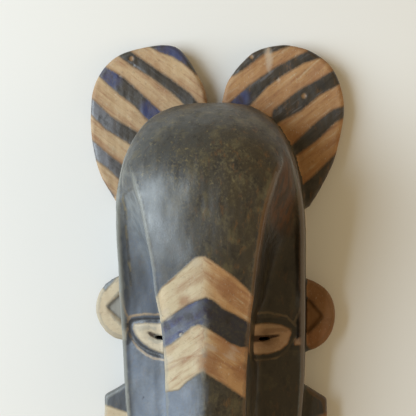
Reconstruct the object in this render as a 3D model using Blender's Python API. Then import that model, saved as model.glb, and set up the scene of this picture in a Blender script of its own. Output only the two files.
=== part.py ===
"""Kifwebe mask, carved from one block of wood, lying on its back rim with the face up.

Metres, +Z out of the face, +Y towards the top of the head, +X to the viewer's right.
The origin is on the rim's back plane, in the middle of the mask's length and width.
"""
import math

import bmesh
import bpy

# Overall sizes
HEIGHT = 0.536            # chin to the tops of the leaf ears
FACE_WIDTH = 0.1966       # across the face where it is widest
FACE_DEPTH = 0.157        # back rim to the crest of the forehead
WALL = 0.012              # wood left between the face and the hollow
RIM_LAND = 0.0055         # raised strip that runs round the face's edge
RIM_ROUND = 0.0025        # rounding of that strip's outer corner

# Outline of the face, as shares of HEIGHT
WIDEST_AT = 0.063
CROWN_AT = 0.375
CHIN_AT = -0.5
CROWN_SQUARENESS = 2.8
CHIN_SQUARENESS = 3.4

# Each run of stations pairs a place along the face (share of HEIGHT) with a share of the depth
EDGE_STATIONS = ((0.28, 0.60), (0.20, 0.65), (0.14, 0.59), (0.06, 0.50), (-0.02, 0.42),
                 (-0.12, 0.335), (-0.24, 0.29), (-0.37, 0.265))
CREST_STATIONS = ((0.19, 1.0), (0.075, 0.972), (0.0, 0.94), (-0.093, 0.90), (-0.19, 0.88),
                  (-0.32, 0.865))
ARRIS_STATIONS = ((0.13, 0.92), (0.0, 0.865), (-0.05, 0.82), (-0.10, 0.80), (-0.20, 0.785),
                  (-0.32, 0.765))
CHEEK_STATIONS = ((0.22, 0.65), (0.15, 0.52), (0.075, 0.42), (0.0, 0.385), (-0.09, 0.37),
                  (-0.30, 0.38), (-0.37, 0.43), (-0.43, 0.42))
CROWN_EDGE_DEPTH = 0.255  # depth where the dome meets the crown's end
CHIN_EDGE_DEPTH = 0.178

# Half-width of the forehead and nose block, as a share of half the face's width
BLOCK_STATIONS = ((0.245, 0.765), (0.20, 0.685), (0.16, 0.622), (0.07, 0.538), (0.0, 0.496),
                  (-0.055, 0.452), (-0.18, 0.412), (-0.32, 0.395))
BLOCK_SHARE_ON_DOME = 0.85
LAND_SHARE_AT_ENDS = 0.09 # most of the half-width that the strip takes near crown and chin
DOME_SQUARENESS = 2.4

# Where the carving changes along the face, shares of HEIGHT: starts and is complete
CHANNEL_STARTS, CHANNEL_FULL = 0.277, 0.165
RIDGE_STARTS, RIDGE_FULL = 0.17, 0.0
NOSE_ENDS, NOSE_GONE = -0.300, -0.326
DOME_STARTS = 0.187
CHIN_STARTS = -0.40
RIDGE_SOFT, RIDGE_CRISP = 2.3, 1.12       # exponent of the block's cross-section
COVE_STATIONS = ((0.24, 1.4), (0.17, 2.2), (0.10, 4.5), (0.03, 10.0), (-0.05, 20.0),
                 (-0.32, 20.0))             # exponent of the fall from arris to cheek
LIP_DEPTH = 0.0022        # how far the channel sinks behind the raised strip
CHEEK_SWELL = 0.004       # roundness of the cheeks between nose and rim

# Eyes: half almonds that grow out of the sides of the nose, placed by shares of HEIGHT
EYE_LINE_AT = -0.0775
EYE_TOP_SHARE = 0.016
EYE_BOTTOM_SHARE = 0.0455
EYE_REACH_SHARE = 0.213   # of FACE_WIDTH, out from the side of the nose
EYE_TOP_SQUARENESS = 3.4
EYE_GROOVE_DEPTH = 0.0022
EYE_GROOVE_WIDTH = 0.0055
EYE_LID_RISE = 0.0018
SLIT_AT = -0.0890
SLIT_LENGTH_SHARE = 0.11  # of FACE_WIDTH
SLIT_START = 0.0060       # wood left between the slit and the side of the nose
SLIT_HEIGHT, SLIT_TIP_HEIGHT = 0.0046, 0.0018
SLIT_DROP = 0.0025        # the slit's nose end lies lower than its tip

# Mouth: a box on the swell of the jaw
MOUTH_AT = -0.3955
MOUTH_WIDTH_SHARE = 0.356
MOUTH_HEIGHT = 0.042
MOUTH_FRONT_SHARE = 0.735 # of FACE_DEPTH
MOUTH_TAPER = 0.88
MOUTH_ROUND = 0.006
MOUTH_SLOT_SHARE = 0.70   # of the mouth's width
MOUTH_SLOT_HEIGHT = 0.009
JAW_SWELL = 0.024
JAW_REACH_X, JAW_REACH_Y = 0.056, 0.040

# Nostrils, bored up into the nose's underside
NOSTRIL_X_SHARE = 0.42    # of the nose's half-width
NOSTRIL_Z_SHARE = 0.66    # of FACE_DEPTH
NOSTRIL_RADIUS, NOSTRIL_DEPTH = 0.0065, 0.006

# Leaf ears: flat boards that stand behind the dome
BOARD_THICKNESS = 0.014
BOARD_BACK = 0.008        # gap between the boards and what the mask lies on
BOARD_ROUND = 0.003
# Each ear's edge from crown to temple, counted outwards, as shares of FACE_WIDTH and of HEIGHT
LEAF_OUTLINE = {
    "left": ((0.050, 0.3825), (0.062, 0.406), (0.117, 0.4468), (0.208, 0.491), (0.312, 0.500),
             (0.494, 0.4878), (0.618, 0.4612), (0.690, 0.416), (0.712, 0.352), (0.700, 0.293),
             (0.655, 0.235), (0.595, 0.195), (0.540, 0.163)),
    "right": ((0.034, 0.3828), (0.062, 0.420), (0.137, 0.4574), (0.235, 0.4862), (0.400, 0.4958),
              (0.550, 0.4784), (0.662, 0.4384), (0.709, 0.3756), (0.694, 0.3202), (0.656, 0.2623),
              (0.581, 0.2044), (0.519, 0.166)),
}
LEAF_ROOT = ((0.407, 0.153), (0.2645, 0.2425), (0.041, 0.347))
LEAF_STEPS = 4            # points on the outline between two of its stations

# Half-round side ears and the lugs under them, of one thickness
SIDE_THICKNESS = 0.016
SIDE_BACK = 0.012
SIDE_ROUND = 0.003
SIDE_ROOT = 0.008         # how far they run into the face's wall
SIDE_EAR_AT = {"left": -0.0395, "right": -0.0520}
SIDE_EAR_REACH = {"left": 0.0345, "right": 0.0320}   # beyond the face's edge
SIDE_EAR_HALF = {"left": 0.0370, "right": 0.0400}
SIDE_EAR_STEPS = 16
POCKET_DEPTH = 0.006
POCKET_REACH = {"left": 0.0215, "right": 0.0180}
POCKET_HALF = 0.026
POCKET_ROOT = 0.004       # the pocket is cut this far into the ear's root, before it joins the face
LUG_AT = -0.2575
LUG_REACH = {"left": 0.0290, "right": 0.0270}
LUG_HALF = 0.0415
LUG_FLAT_HALF = 0.0205

# Fineness of the faceted surface
FINE_ROWS_MARGIN = 0.0095 # fine rows reach this far above and below the eyes
FINE_ROW_STEP = 0.0032
ROW_STEP = 0.0125
HOLLOW_ROW_STEP = 0.018
CHEEK_COLUMNS = 16
COLUMN_CROWDING = 1.3     # columns crowd towards the nose's side wall
BLOCK_COLUMNS = 4
HOLLOW_CHEEK_COLUMNS = 6
CLEARANCE_OUT = 0.002     # cutters run this far past the surface that they leave


def clearScene():
    for thing in list(bpy.data.objects):
        bpy.data.objects.remove(thing, do_unlink=True)


def makeCollection(name):
    group = bpy.data.collections.new(name)
    bpy.context.scene.collection.children.link(group)
    return group


def between(low, high, value):
    """Smooth 0 to 1 as value goes from low to high."""
    share = min(max((value - low) / (high - low), 0.0), 1.0)
    return share * share * (3.0 - 2.0 * share)


def along(stations, share):
    """Smooth curve through the stations, level beyond both ends."""
    points = sorted(stations)
    if share <= points[0][0]:
        return points[0][1]
    if share >= points[-1][0]:
        return points[-1][1]
    slopes = []
    for index in range(len(points)):
        before = points[max(index - 1, 0)]
        after = points[min(index + 1, len(points) - 1)]
        slopes.append((after[1] - before[1]) / (after[0] - before[0]))
    index = max(i for i in range(len(points) - 1) if points[i][0] <= share)
    (x0, y0), (x1, y1) = points[index], points[index + 1]
    span = x1 - x0
    t = (share - x0) / span
    return (y0 * (1 + 2 * t) * (1 - t) ** 2 + slopes[index] * span * t * (1 - t) ** 2
            + y1 * t * t * (3 - 2 * t) + slopes[index + 1] * span * t * t * (t - 1))


def arch(value, squareness):
    """Superellipse: 1 at value 0, falling to 0 at value 1."""
    return max(1.0 - min(abs(value), 1.0) ** squareness, 0.0) ** (1.0 / squareness)


class Face:
    """The carved front as a height above the rim's back, or the hollow inside it when inset."""

    def __init__(self, inset):
        self.inset = inset
        self.middle = WIDEST_AT * HEIGHT
        self.top = CROWN_AT * HEIGHT - inset
        self.bottom = CHIN_AT * HEIGHT + inset

    def halfWidth(self, y):
        if y >= self.middle:
            roundness = arch((y - self.middle) / (self.top - self.middle), CROWN_SQUARENESS)
        else:
            roundness = arch((self.middle - y) / (self.middle - self.bottom), CHIN_SQUARENESS)
        return (FACE_WIDTH / 2 - self.inset) * roundness

    def closing(self, y):
        """1 on the face, falling to 0 at the crown's and the chin's ends."""
        domeFrom = DOME_STARTS * HEIGHT
        chinFrom = CHIN_STARTS * HEIGHT
        if y > domeFrom:
            return arch((y - domeFrom) / (self.top - domeFrom), 2.0)
        if y < chinFrom:
            return arch((chinFrom - y) / (chinFrom - self.bottom), 2.0)
        return 1.0

    def depth(self, stations, y):
        """Height above the back, from stations of shares, drawn in at both ends."""
        end = CROWN_EDGE_DEPTH if y > 0 else CHIN_EDGE_DEPTH
        share = end + (along(stations, y / HEIGHT) - end) * self.closing(y)
        return share * FACE_DEPTH - self.inset

    def blockHalf(self, y):
        """Half-width of the forehead and nose block."""
        limit = BLOCK_SHARE_ON_DOME * self.halfWidth(y)
        return min(along(BLOCK_STATIONS, y / HEIGHT) * FACE_WIDTH / 2 - self.inset, limit)

    def helmet(self, x, y):
        edge = self.depth(EDGE_STATIONS, y)
        crest = self.depth(CREST_STATIONS, y)
        half = max(self.halfWidth(y), 1e-6)
        return edge + (crest - edge) * arch(x / half, DOME_SQUARENESS)

    def cheek(self, x, y):
        """The low ground beside the nose, up to the rim's raised strip."""
        edge = self.depth(EDGE_STATIONS, y)
        root = self.depth(CHEEK_STATIONS, y)
        half = max(self.halfWidth(y), 1e-6)
        out = min(abs(x) / half, 1.0)
        swell = CHEEK_SWELL * math.sin(math.pi * out) * self.closing(y)
        offMouth = math.hypot(x / JAW_REACH_X, (y - MOUTH_AT * HEIGHT) / JAW_REACH_Y)
        jaw = JAW_SWELL * between(1.0, 0.0, offMouth)
        return root + (edge - root) * out ** 2 + swell + jaw

    def block(self, x, y):
        """The top of the forehead and nose block, and its arris at blockHalf."""
        share = y / HEIGHT
        half = max(self.blockHalf(y), 1e-6)
        ridge = between(RIDGE_STARTS, RIDGE_FULL, share)
        crest = self.depth(CREST_STATIONS, y)
        arris = self.depth(ARRIS_STATIONS, y)
        power = RIDGE_SOFT + (RIDGE_CRISP - RIDGE_SOFT) * ridge
        roof = crest + (arris - crest) * min(abs(x) / half, 1.0) ** power
        onHead = self.helmet(x, y) + (roof - self.helmet(x, y)) * ridge
        nearer = self.inset / HEIGHT
        nose = between(NOSE_GONE + nearer, NOSE_ENDS + nearer, share)
        ground = self.cheek(x, y)
        return ground + (onHead - ground) * nose

    def height(self, x, y):
        share = y / HEIGHT
        half = self.halfWidth(y)
        blockHalf = self.blockHalf(y)
        if abs(x) <= blockHalf or half <= blockHalf:
            return self.block(x, y)
        out = (abs(x) - blockHalf) / (half - blockHalf)
        arris = self.block(blockHalf, y)
        ground = self.cheek(x, y)
        rise = (1.0 - out) ** along(COVE_STATIONS, share)
        cove = ground + (arris - ground) * rise
        if not self.inset:
            cove += eyeRelief(self, x, y) * (1.0 - rise) ** 2
        channel = between(CHANNEL_STARTS, CHANNEL_FULL, share)
        return self.helmet(x, y) + (cove - self.helmet(x, y)) * channel


def eyeDistance(face, x, y):
    """Distance outside the eye's half almond, negative on the lids."""
    line = EYE_LINE_AT * HEIGHT
    root = face.blockHalf(line)

    def reach(px, py):
        above = py > line
        rise = (EYE_TOP_SHARE if above else EYE_BOTTOM_SHARE) * HEIGHT
        power = EYE_TOP_SQUARENESS if above else 2.0
        across = abs(px - root) / (EYE_REACH_SHARE * FACE_WIDTH)
        down = abs(py - line) / rise
        return (across ** power + down ** power) ** (1.0 / power) - 1.0

    step = 0.0002
    value = reach(x, y)
    slopeX = (reach(x + step, y) - reach(x - step, y)) / (2 * step)
    slopeY = (reach(x, y + step) - reach(x, y - step)) / (2 * step)
    return value / max(math.hypot(slopeX, slopeY), 1e-6)


def eyeRelief(face, x, y):
    """Groove round each eye and the swell of its lids."""
    distance = eyeDistance(face, abs(x), y)
    offCentre = (distance - EYE_GROOVE_WIDTH / 2) / (EYE_GROOVE_WIDTH / 2)
    groove = -EYE_GROOVE_DEPTH * math.exp(-offCentre ** 2)
    lids = EYE_LID_RISE * between(0.0, EYE_BOTTOM_SHARE * HEIGHT / 2, -distance)
    return groove + lids


def spaced(low, high, step):
    """Even places from low up to, but not including, high."""
    count = max(1, round((high - low) / step))
    return [low + (high - low) * index / count for index in range(count)]


def eased(start, end, count):
    """Places that crowd towards the end, for a round end seen from the side."""
    return [start + (end - start) * math.sin(math.pi / 2 * index / count)
            for index in range(count + 1)]


def faceRows(face):
    """Places of the cross-sections, chin to crown, close together where the carving is fine."""
    chin = sorted(eased(CHIN_STARTS * HEIGHT, face.bottom, 9))
    crown = eased(DOME_STARTS * HEIGHT, face.top, 11)
    eyesFrom = (EYE_LINE_AT - EYE_BOTTOM_SHARE) * HEIGHT - FINE_ROWS_MARGIN
    eyesTo = (EYE_LINE_AT + EYE_TOP_SHARE) * HEIGHT + FINE_ROWS_MARGIN
    stops = [(CHIN_STARTS * HEIGHT, ROW_STEP), (NOSE_GONE * HEIGHT, FINE_ROW_STEP),
             (NOSE_ENDS * HEIGHT, ROW_STEP), (eyesFrom, FINE_ROW_STEP), (eyesTo, ROW_STEP),
             (DOME_STARTS * HEIGHT, ROW_STEP)]
    rows = chin[:-1]
    for (low, step), (high, _) in zip(stops, stops[1:]):
        rows += spaced(low, high, step)
    return rows + crown


def hollowRows(hollow):
    chin = sorted(eased(CHIN_STARTS * HEIGHT, hollow.bottom, 5))
    crown = eased(DOME_STARTS * HEIGHT, hollow.top, 6)
    return chin[:-1] + spaced(CHIN_STARTS * HEIGHT, DOME_STARTS * HEIGHT, HOLLOW_ROW_STEP) + crown


def faceSection(face, y):
    """Right half of one cross-section, from the back of the wall to the crest."""
    half = face.halfWidth(y)
    blockHalf = face.blockHalf(y)
    edge = face.depth(EDGE_STATIONS, y)
    fit = min(1.0, half * LAND_SHARE_AT_ENDS / RIM_LAND)
    land, rounding = RIM_LAND * fit, RIM_ROUND * fit
    channel = between(CHANNEL_STARTS, CHANNEL_FULL, y / HEIGHT)
    lip = LIP_DEPTH * channel * face.closing(y)
    points = [(half, 0.0), (half, edge * 0.55), (half, edge - rounding)]
    onDome = face.height(half - rounding, y)
    points.append((half - rounding * 0.3, edge - rounding * 0.3))
    points.append((half - rounding, onDome + (edge - onDome) * channel))
    inner = half - land
    top = face.height(inner, y)
    points.append((inner, top + (edge - top) * channel))
    start = inner - (rounding if blockHalf < inner - rounding else 0.0)
    for index in range(CHEEK_COLUMNS):
        share = index / CHEEK_COLUMNS
        x = blockHalf + (start - blockHalf) * (1.0 - share) ** COLUMN_CROWDING
        sink = lip * (1.0 - between(0.0, 0.5, share))
        points.append((x, face.height(x, y) - sink))
    for index in range(BLOCK_COLUMNS):
        x = blockHalf * (1.0 - index / BLOCK_COLUMNS)
        points.append((x, face.height(x, y)))
    points.append((0.0, face.height(0.0, y)))
    return points


def hollowSection(hollow, y):
    half = hollow.halfWidth(y)
    blockHalf = hollow.blockHalf(y)
    points = [(half, -CLEARANCE_OUT), (half, hollow.depth(EDGE_STATIONS, y))]
    for index in range(1, HOLLOW_CHEEK_COLUMNS + 1):
        share = index / HOLLOW_CHEEK_COLUMNS
        x = half + (blockHalf - half) * share ** 0.7
        points.append((x, hollow.height(x, y)))
    for index in range(1, 3):
        x = blockHalf * (1.0 - index / 3)
        points.append((x, hollow.height(x, y)))
    points.append((0.0, hollow.height(0.0, y)))
    return points


def loft(name, rows, section):
    """Closed solid with a flat back, through mirrored cross-sections placed along Y."""
    work = bmesh.new()
    rings = []
    for y in rows:
        half = section(y)
        mirrored = [(-x, z) for x, z in half[:-1]]
        ring = [work.verts.new((x, y, z)) for x, z in half + mirrored[::-1]]
        rings.append(ring)
    for lower, upper in zip(rings, rings[1:]):
        for index in range(len(lower)):
            after = (index + 1) % len(lower)
            work.faces.new((lower[index], upper[index], upper[after], lower[after]))
    bmesh.ops.remove_doubles(work, verts=work.verts, dist=1e-6)
    bmesh.ops.triangulate(work, faces=work.faces)
    bmesh.ops.dissolve_degenerate(work, edges=work.edges, dist=1e-6)
    mesh = bpy.data.meshes.new(name)
    work.to_mesh(mesh)
    work.free()
    return bpy.data.objects.new(name, mesh)


def smoothOutline(points, steps):
    """Points on a smooth open curve through the given ones."""
    result = []
    for index in range(len(points) - 1):
        before = points[max(index - 1, 0)]
        start, end = points[index], points[index + 1]
        after = points[min(index + 2, len(points) - 1)]
        for step in range(steps):
            t = step / steps
            place = []
            for axis in range(2):
                a, b, c, d = before[axis], start[axis], end[axis], after[axis]
                place.append(0.5 * (2 * b + (c - a) * t + (2 * a - 5 * b + 4 * c - d) * t * t
                                    + (3 * b - a - 3 * c + d) * t ** 3))
            result.append(tuple(place))
    result.append(points[-1])
    return result


def board(name, outline, back, thickness, rounding):
    """Flat board with rounded edges, from a closed outline in the XY plane."""
    curve = bpy.data.curves.new(name, "CURVE")
    curve.dimensions = "2D"
    curve.fill_mode = "BOTH"
    curve.extrude = thickness / 2 - rounding
    curve.bevel_depth = rounding
    curve.bevel_resolution = 1
    curve.offset = -rounding
    spline = curve.splines.new("POLY")
    spline.points.add(len(outline) - 1)
    for point, (x, y) in zip(spline.points, outline):
        point.co = (x, y, 0.0, 1.0)
    spline.use_cyclic_u = True
    drawn = bpy.data.objects.new(name + "_outline", curve)
    drawn.location.z = back + thickness / 2
    bpy.context.scene.collection.objects.link(drawn)
    bpy.context.view_layer.update()
    evaluated = drawn.evaluated_get(bpy.context.evaluated_depsgraph_get())
    mesh = bpy.data.meshes.new_from_object(evaluated)
    work = bmesh.new()
    work.from_mesh(mesh)
    bmesh.ops.remove_doubles(work, verts=work.verts, dist=1e-6)
    bmesh.ops.recalc_face_normals(work, faces=work.faces)
    flats = [side for side in work.faces if abs(side.normal.z) > 0.999]
    bmesh.ops.dissolve_faces(work, faces=flats)   # front and back as one face each join cleanly
    work.to_mesh(mesh)
    work.free()
    solid = bpy.data.objects.new(name, mesh)
    solid.matrix_world = drawn.matrix_world
    bpy.data.objects.remove(drawn, do_unlink=True)
    return solid


def prism(name, outline, low, high):
    """Straight-sided block over an outline, from height low to height high."""
    work = bmesh.new()
    floor = [work.verts.new((x, y, low)) for x, y in outline]
    base = work.faces.new(floor)
    grown = bmesh.ops.extrude_face_region(work, geom=[base])
    lifted = [item for item in grown["geom"] if isinstance(item, bmesh.types.BMVert)]
    bmesh.ops.translate(work, verts=lifted, vec=(0.0, 0.0, high - low))
    bmesh.ops.recalc_face_normals(work, faces=work.faces)
    mesh = bpy.data.meshes.new(name)
    work.to_mesh(mesh)
    work.free()
    return bpy.data.objects.new(name, mesh)


def mirroredTo(side, outline):
    """The outline as it is on the right, or mirrored and kept anticlockwise on the left."""
    if side == "right":
        return list(outline)
    return [(-x, y) for x, y in reversed(outline)]


def leafEar(side):
    stations = [(x * FACE_WIDTH, y * HEIGHT) for x, y in LEAF_OUTLINE[side]]
    root = [(x * FACE_WIDTH, y * HEIGHT) for x, y in LEAF_ROOT]
    edge = [(x, min(y, HEIGHT / 2)) for x, y in smoothOutline(stations, LEAF_STEPS)]
    return board(side + "_leaf_ear", mirroredTo(side, edge + root), BOARD_BACK, BOARD_THICKNESS,
                 BOARD_ROUND)


def sideEar(side, face):
    """Half-round ear that stands out from the face's wall."""
    middle = SIDE_EAR_AT[side] * HEIGHT
    root = face.halfWidth(middle) - SIDE_ROOT
    reach = SIDE_EAR_REACH[side] + SIDE_ROOT
    outline = []
    for step in range(SIDE_EAR_STEPS + 1):
        angle = math.pi / 2 - math.pi * step / SIDE_EAR_STEPS
        outline.append((root + reach * math.cos(angle) ** 0.9,
                        middle + SIDE_EAR_HALF[side] * math.sin(angle)))
    return board(side + "_side_ear", mirroredTo(side, outline), SIDE_BACK, SIDE_THICKNESS,
                 SIDE_ROUND)


def sideEarPocket(side, face):
    """Sunk triangle in the side ear's front, with its point outwards."""
    middle = SIDE_EAR_AT[side] * HEIGHT
    root = face.halfWidth(middle) - POCKET_ROOT
    outline = [(root, middle - POCKET_HALF), (root + POCKET_ROOT + POCKET_REACH[side], middle),
               (root, middle + POCKET_HALF)]
    top = SIDE_BACK + SIDE_THICKNESS
    return prism(side + "_pocket_cutter", mirroredTo(side, outline), top - POCKET_DEPTH,
                 top + CLEARANCE_OUT)


def sideLug(side, face):
    """Lug with sloped ends, below the side ear."""
    middle = LUG_AT * HEIGHT
    root = face.halfWidth(middle) - SIDE_ROOT
    tip = face.halfWidth(middle) + LUG_REACH[side]
    outline = [(root, middle + LUG_HALF), (tip, middle + LUG_FLAT_HALF),
               (tip, middle - LUG_FLAT_HALF), (root, middle - LUG_HALF)]
    return board(side + "_lug", mirroredTo(side, outline), SIDE_BACK, SIDE_THICKNESS, SIDE_ROUND)


def mouthBlock(face):
    """Box of the lips, narrower at the front, rounded, rooted in the wood of the jaw."""
    work = bmesh.new()
    bmesh.ops.create_cube(work, size=1.0)
    middle = MOUTH_AT * HEIGHT
    ground = WALL
    for vert in work.verts:
        taper = MOUTH_TAPER if vert.co.z > 0 else 1.0
        vert.co.x *= MOUTH_WIDTH_SHARE * FACE_WIDTH * taper
        vert.co.y = middle + vert.co.y * MOUTH_HEIGHT * taper
        vert.co.z = MOUTH_FRONT_SHARE * FACE_DEPTH if vert.co.z > 0 else ground
    rounded = [edge for edge in work.edges if max(v.co.z for v in edge.verts) > ground]
    bmesh.ops.bevel(work, geom=rounded, offset=MOUTH_ROUND, segments=3, profile=0.5,
                    affect="EDGES")
    bmesh.ops.recalc_face_normals(work, faces=work.faces)
    mesh = bpy.data.meshes.new("mouth_block")
    work.to_mesh(mesh)
    work.free()
    return bpy.data.objects.new("mouth_block", mesh)


def mouthSlot():
    middle = MOUTH_AT * HEIGHT
    x = MOUTH_SLOT_SHARE * MOUTH_WIDTH_SHARE * FACE_WIDTH / 2
    y = MOUTH_SLOT_HEIGHT / 2
    outline = [(-x, middle), (-x + y, middle - y), (x - y, middle - y), (x, middle),
               (x - y, middle + y), (-x + y, middle + y)]
    return prism("mouth_slot_cutter", outline, WALL,
                 MOUTH_FRONT_SHARE * FACE_DEPTH + CLEARANCE_OUT)


def eyeSlit(side, face):
    """Narrow slit to look through, taller beside the nose than at its tip."""
    near, far = SLIT_HEIGHT / 2, SLIT_TIP_HEIGHT / 2
    y = SLIT_AT * HEIGHT
    start = face.blockHalf(y) + SLIT_START
    tip = start + SLIT_LENGTH_SHARE * FACE_WIDTH
    top = face.height(start, y) + CLEARANCE_OUT
    outline = [(start, y - SLIT_DROP - near), (tip, y - far), (tip, y + far),
               (start, y - SLIT_DROP + near)]
    return prism(side + "_eye_slit_cutter", mirroredTo(side, outline), WALL, top)


def nostril(side, face):
    """Blind round hole up into the nose, open through its sloping underside."""
    start = NOSE_GONE * HEIGHT
    end = NOSE_ENDS * HEIGHT + NOSTRIL_DEPTH
    work = bmesh.new()
    bmesh.ops.create_cone(work, cap_ends=True, segments=10, radius1=NOSTRIL_RADIUS,
                          radius2=NOSTRIL_RADIUS, depth=end - start)
    mesh = bpy.data.meshes.new(side + "_nostril_cutter")
    work.to_mesh(mesh)
    work.free()
    cutter = bpy.data.objects.new(side + "_nostril_cutter", mesh)
    sign = 1 if side == "right" else -1
    x = NOSTRIL_X_SHARE * face.blockHalf(end)
    cutter.location = (sign * x, (start + end) / 2, NOSTRIL_Z_SHARE * FACE_DEPTH)
    cutter.rotation_euler = (math.radians(-90), 0.0, 0.0)
    return cutter


def darkPaintedWood():
    material = bpy.data.materials.new("dark_painted_wood")
    material.use_nodes = True
    shader = material.node_tree.nodes["Principled BSDF"]
    shader.inputs["Base Color"].default_value = (0.060, 0.066, 0.072, 1.0)
    shader.inputs["Roughness"].default_value = 0.5
    shader.inputs["Metallic"].default_value = 0.0
    return material


def cutPocket(ear, pocket):
    step = ear.modifiers.new("pocket", "BOOLEAN")
    step.operation = "DIFFERENCE"
    step.object = pocket
    step.solver = "EXACT"


def hideInto(group, helpers):
    for helper in helpers:
        group.objects.link(helper)
        helper.hide_render = True
        helper.display_type = "WIRE"


def combine(target, group, operation):
    step = target.modifiers.new(operation.lower() + "_" + group.name, "BOOLEAN")
    step.operation = operation
    step.operand_type = "COLLECTION"
    step.collection = group
    step.solver = "EXACT"


def buildMask():
    clearScene()
    parts = makeCollection("kifwebe_mask")
    forms = makeCollection("mask_forms_joined")
    cutters = makeCollection("mask_cutters")
    pocketCutters = makeCollection("side_ear_cutters")
    face = Face(0.0)
    hollow = Face(WALL)
    mask = loft("carved_mask", faceRows(face), lambda y: faceSection(face, y))
    parts.objects.link(mask)
    mask.data.materials.append(darkPaintedWood())
    sides = ("left", "right")
    joined = [mouthBlock(face)]
    joined += [leafEar(side) for side in sides]
    joined += [sideLug(side, face) for side in sides]
    ears = [sideEar(side, face) for side in sides]
    pockets = [sideEarPocket(side, face) for side in sides]
    for ear, pocket in zip(ears, pockets):
        cutPocket(ear, pocket)
    joined += ears
    hideInto(forms, joined)
    removed = [loft("hollow_cutter", hollowRows(hollow), lambda y: hollowSection(hollow, y))]
    removed.append(mouthSlot())
    removed += [eyeSlit(side, face) for side in sides]
    removed += [nostril(side, face) for side in sides]
    hideInto(cutters, removed)
    hideInto(pocketCutters, pockets)
    combine(mask, forms, "UNION")
    combine(mask, cutters, "DIFFERENCE")
    mask.data.shade_smooth()
    mask.data.set_sharp_from_angle(angle=math.radians(35))


buildMask()
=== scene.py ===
import math

import bpy
import numpy as np
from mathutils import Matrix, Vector


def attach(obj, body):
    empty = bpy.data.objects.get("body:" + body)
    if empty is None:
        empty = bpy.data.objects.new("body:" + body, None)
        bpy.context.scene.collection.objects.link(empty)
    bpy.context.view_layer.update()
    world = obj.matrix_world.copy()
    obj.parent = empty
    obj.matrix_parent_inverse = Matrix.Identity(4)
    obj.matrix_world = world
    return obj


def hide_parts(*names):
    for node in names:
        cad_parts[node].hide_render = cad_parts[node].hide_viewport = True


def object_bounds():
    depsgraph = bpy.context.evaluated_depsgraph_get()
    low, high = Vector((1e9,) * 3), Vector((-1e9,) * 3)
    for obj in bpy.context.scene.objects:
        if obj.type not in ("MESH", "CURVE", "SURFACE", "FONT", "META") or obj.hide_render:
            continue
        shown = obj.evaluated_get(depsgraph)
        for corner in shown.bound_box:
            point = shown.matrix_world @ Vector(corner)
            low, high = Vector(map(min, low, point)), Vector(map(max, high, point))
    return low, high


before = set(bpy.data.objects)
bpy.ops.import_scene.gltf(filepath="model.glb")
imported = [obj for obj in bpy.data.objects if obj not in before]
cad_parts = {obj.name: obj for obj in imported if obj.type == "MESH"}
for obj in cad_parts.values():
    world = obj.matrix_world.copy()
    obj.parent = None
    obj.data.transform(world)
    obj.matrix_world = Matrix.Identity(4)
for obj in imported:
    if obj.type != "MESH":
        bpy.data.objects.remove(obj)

# Kifwebe mask, carved from one block, painted, lying on its back rim with the face up.
# X runs across the face to the viewer's right, Y from chin to crown, Z up out of the face.

cadBox = [list(corner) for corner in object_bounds()]
maskHeight = cadBox[1][1] - cadBox[0][1]
maskDepth = cadBox[1][2] - cadBox[0][2]

# The photo's view: a camera that looks down on the lying mask from a little to the right
photo = {
    "pixels": 416,
    "distance": 1.15,                    # camera to the target
    "metresPerPixel": 0.00105,           # at the target
    "yaw": math.radians(6.0),
    "target": (-0.0032, 0.0883, 0.070),
    "sensor": 36.0,
}


def onPhoto(points):
    # where points of the mask show in the photo, in its pixels
    cosine, sine = math.cos(photo["yaw"]), math.sin(photo["yaw"])
    away = points - np.array(photo["target"])
    across = away[:, 0] * cosine - away[:, 2] * sine
    depth = photo["distance"] - (away[:, 0] * sine + away[:, 2] * cosine)
    scale = photo["distance"] / photo["metresPerPixel"] / depth
    middle = photo["pixels"] / 2
    return np.stack((middle + across * scale, middle - away[:, 1] * scale), 1)


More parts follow.
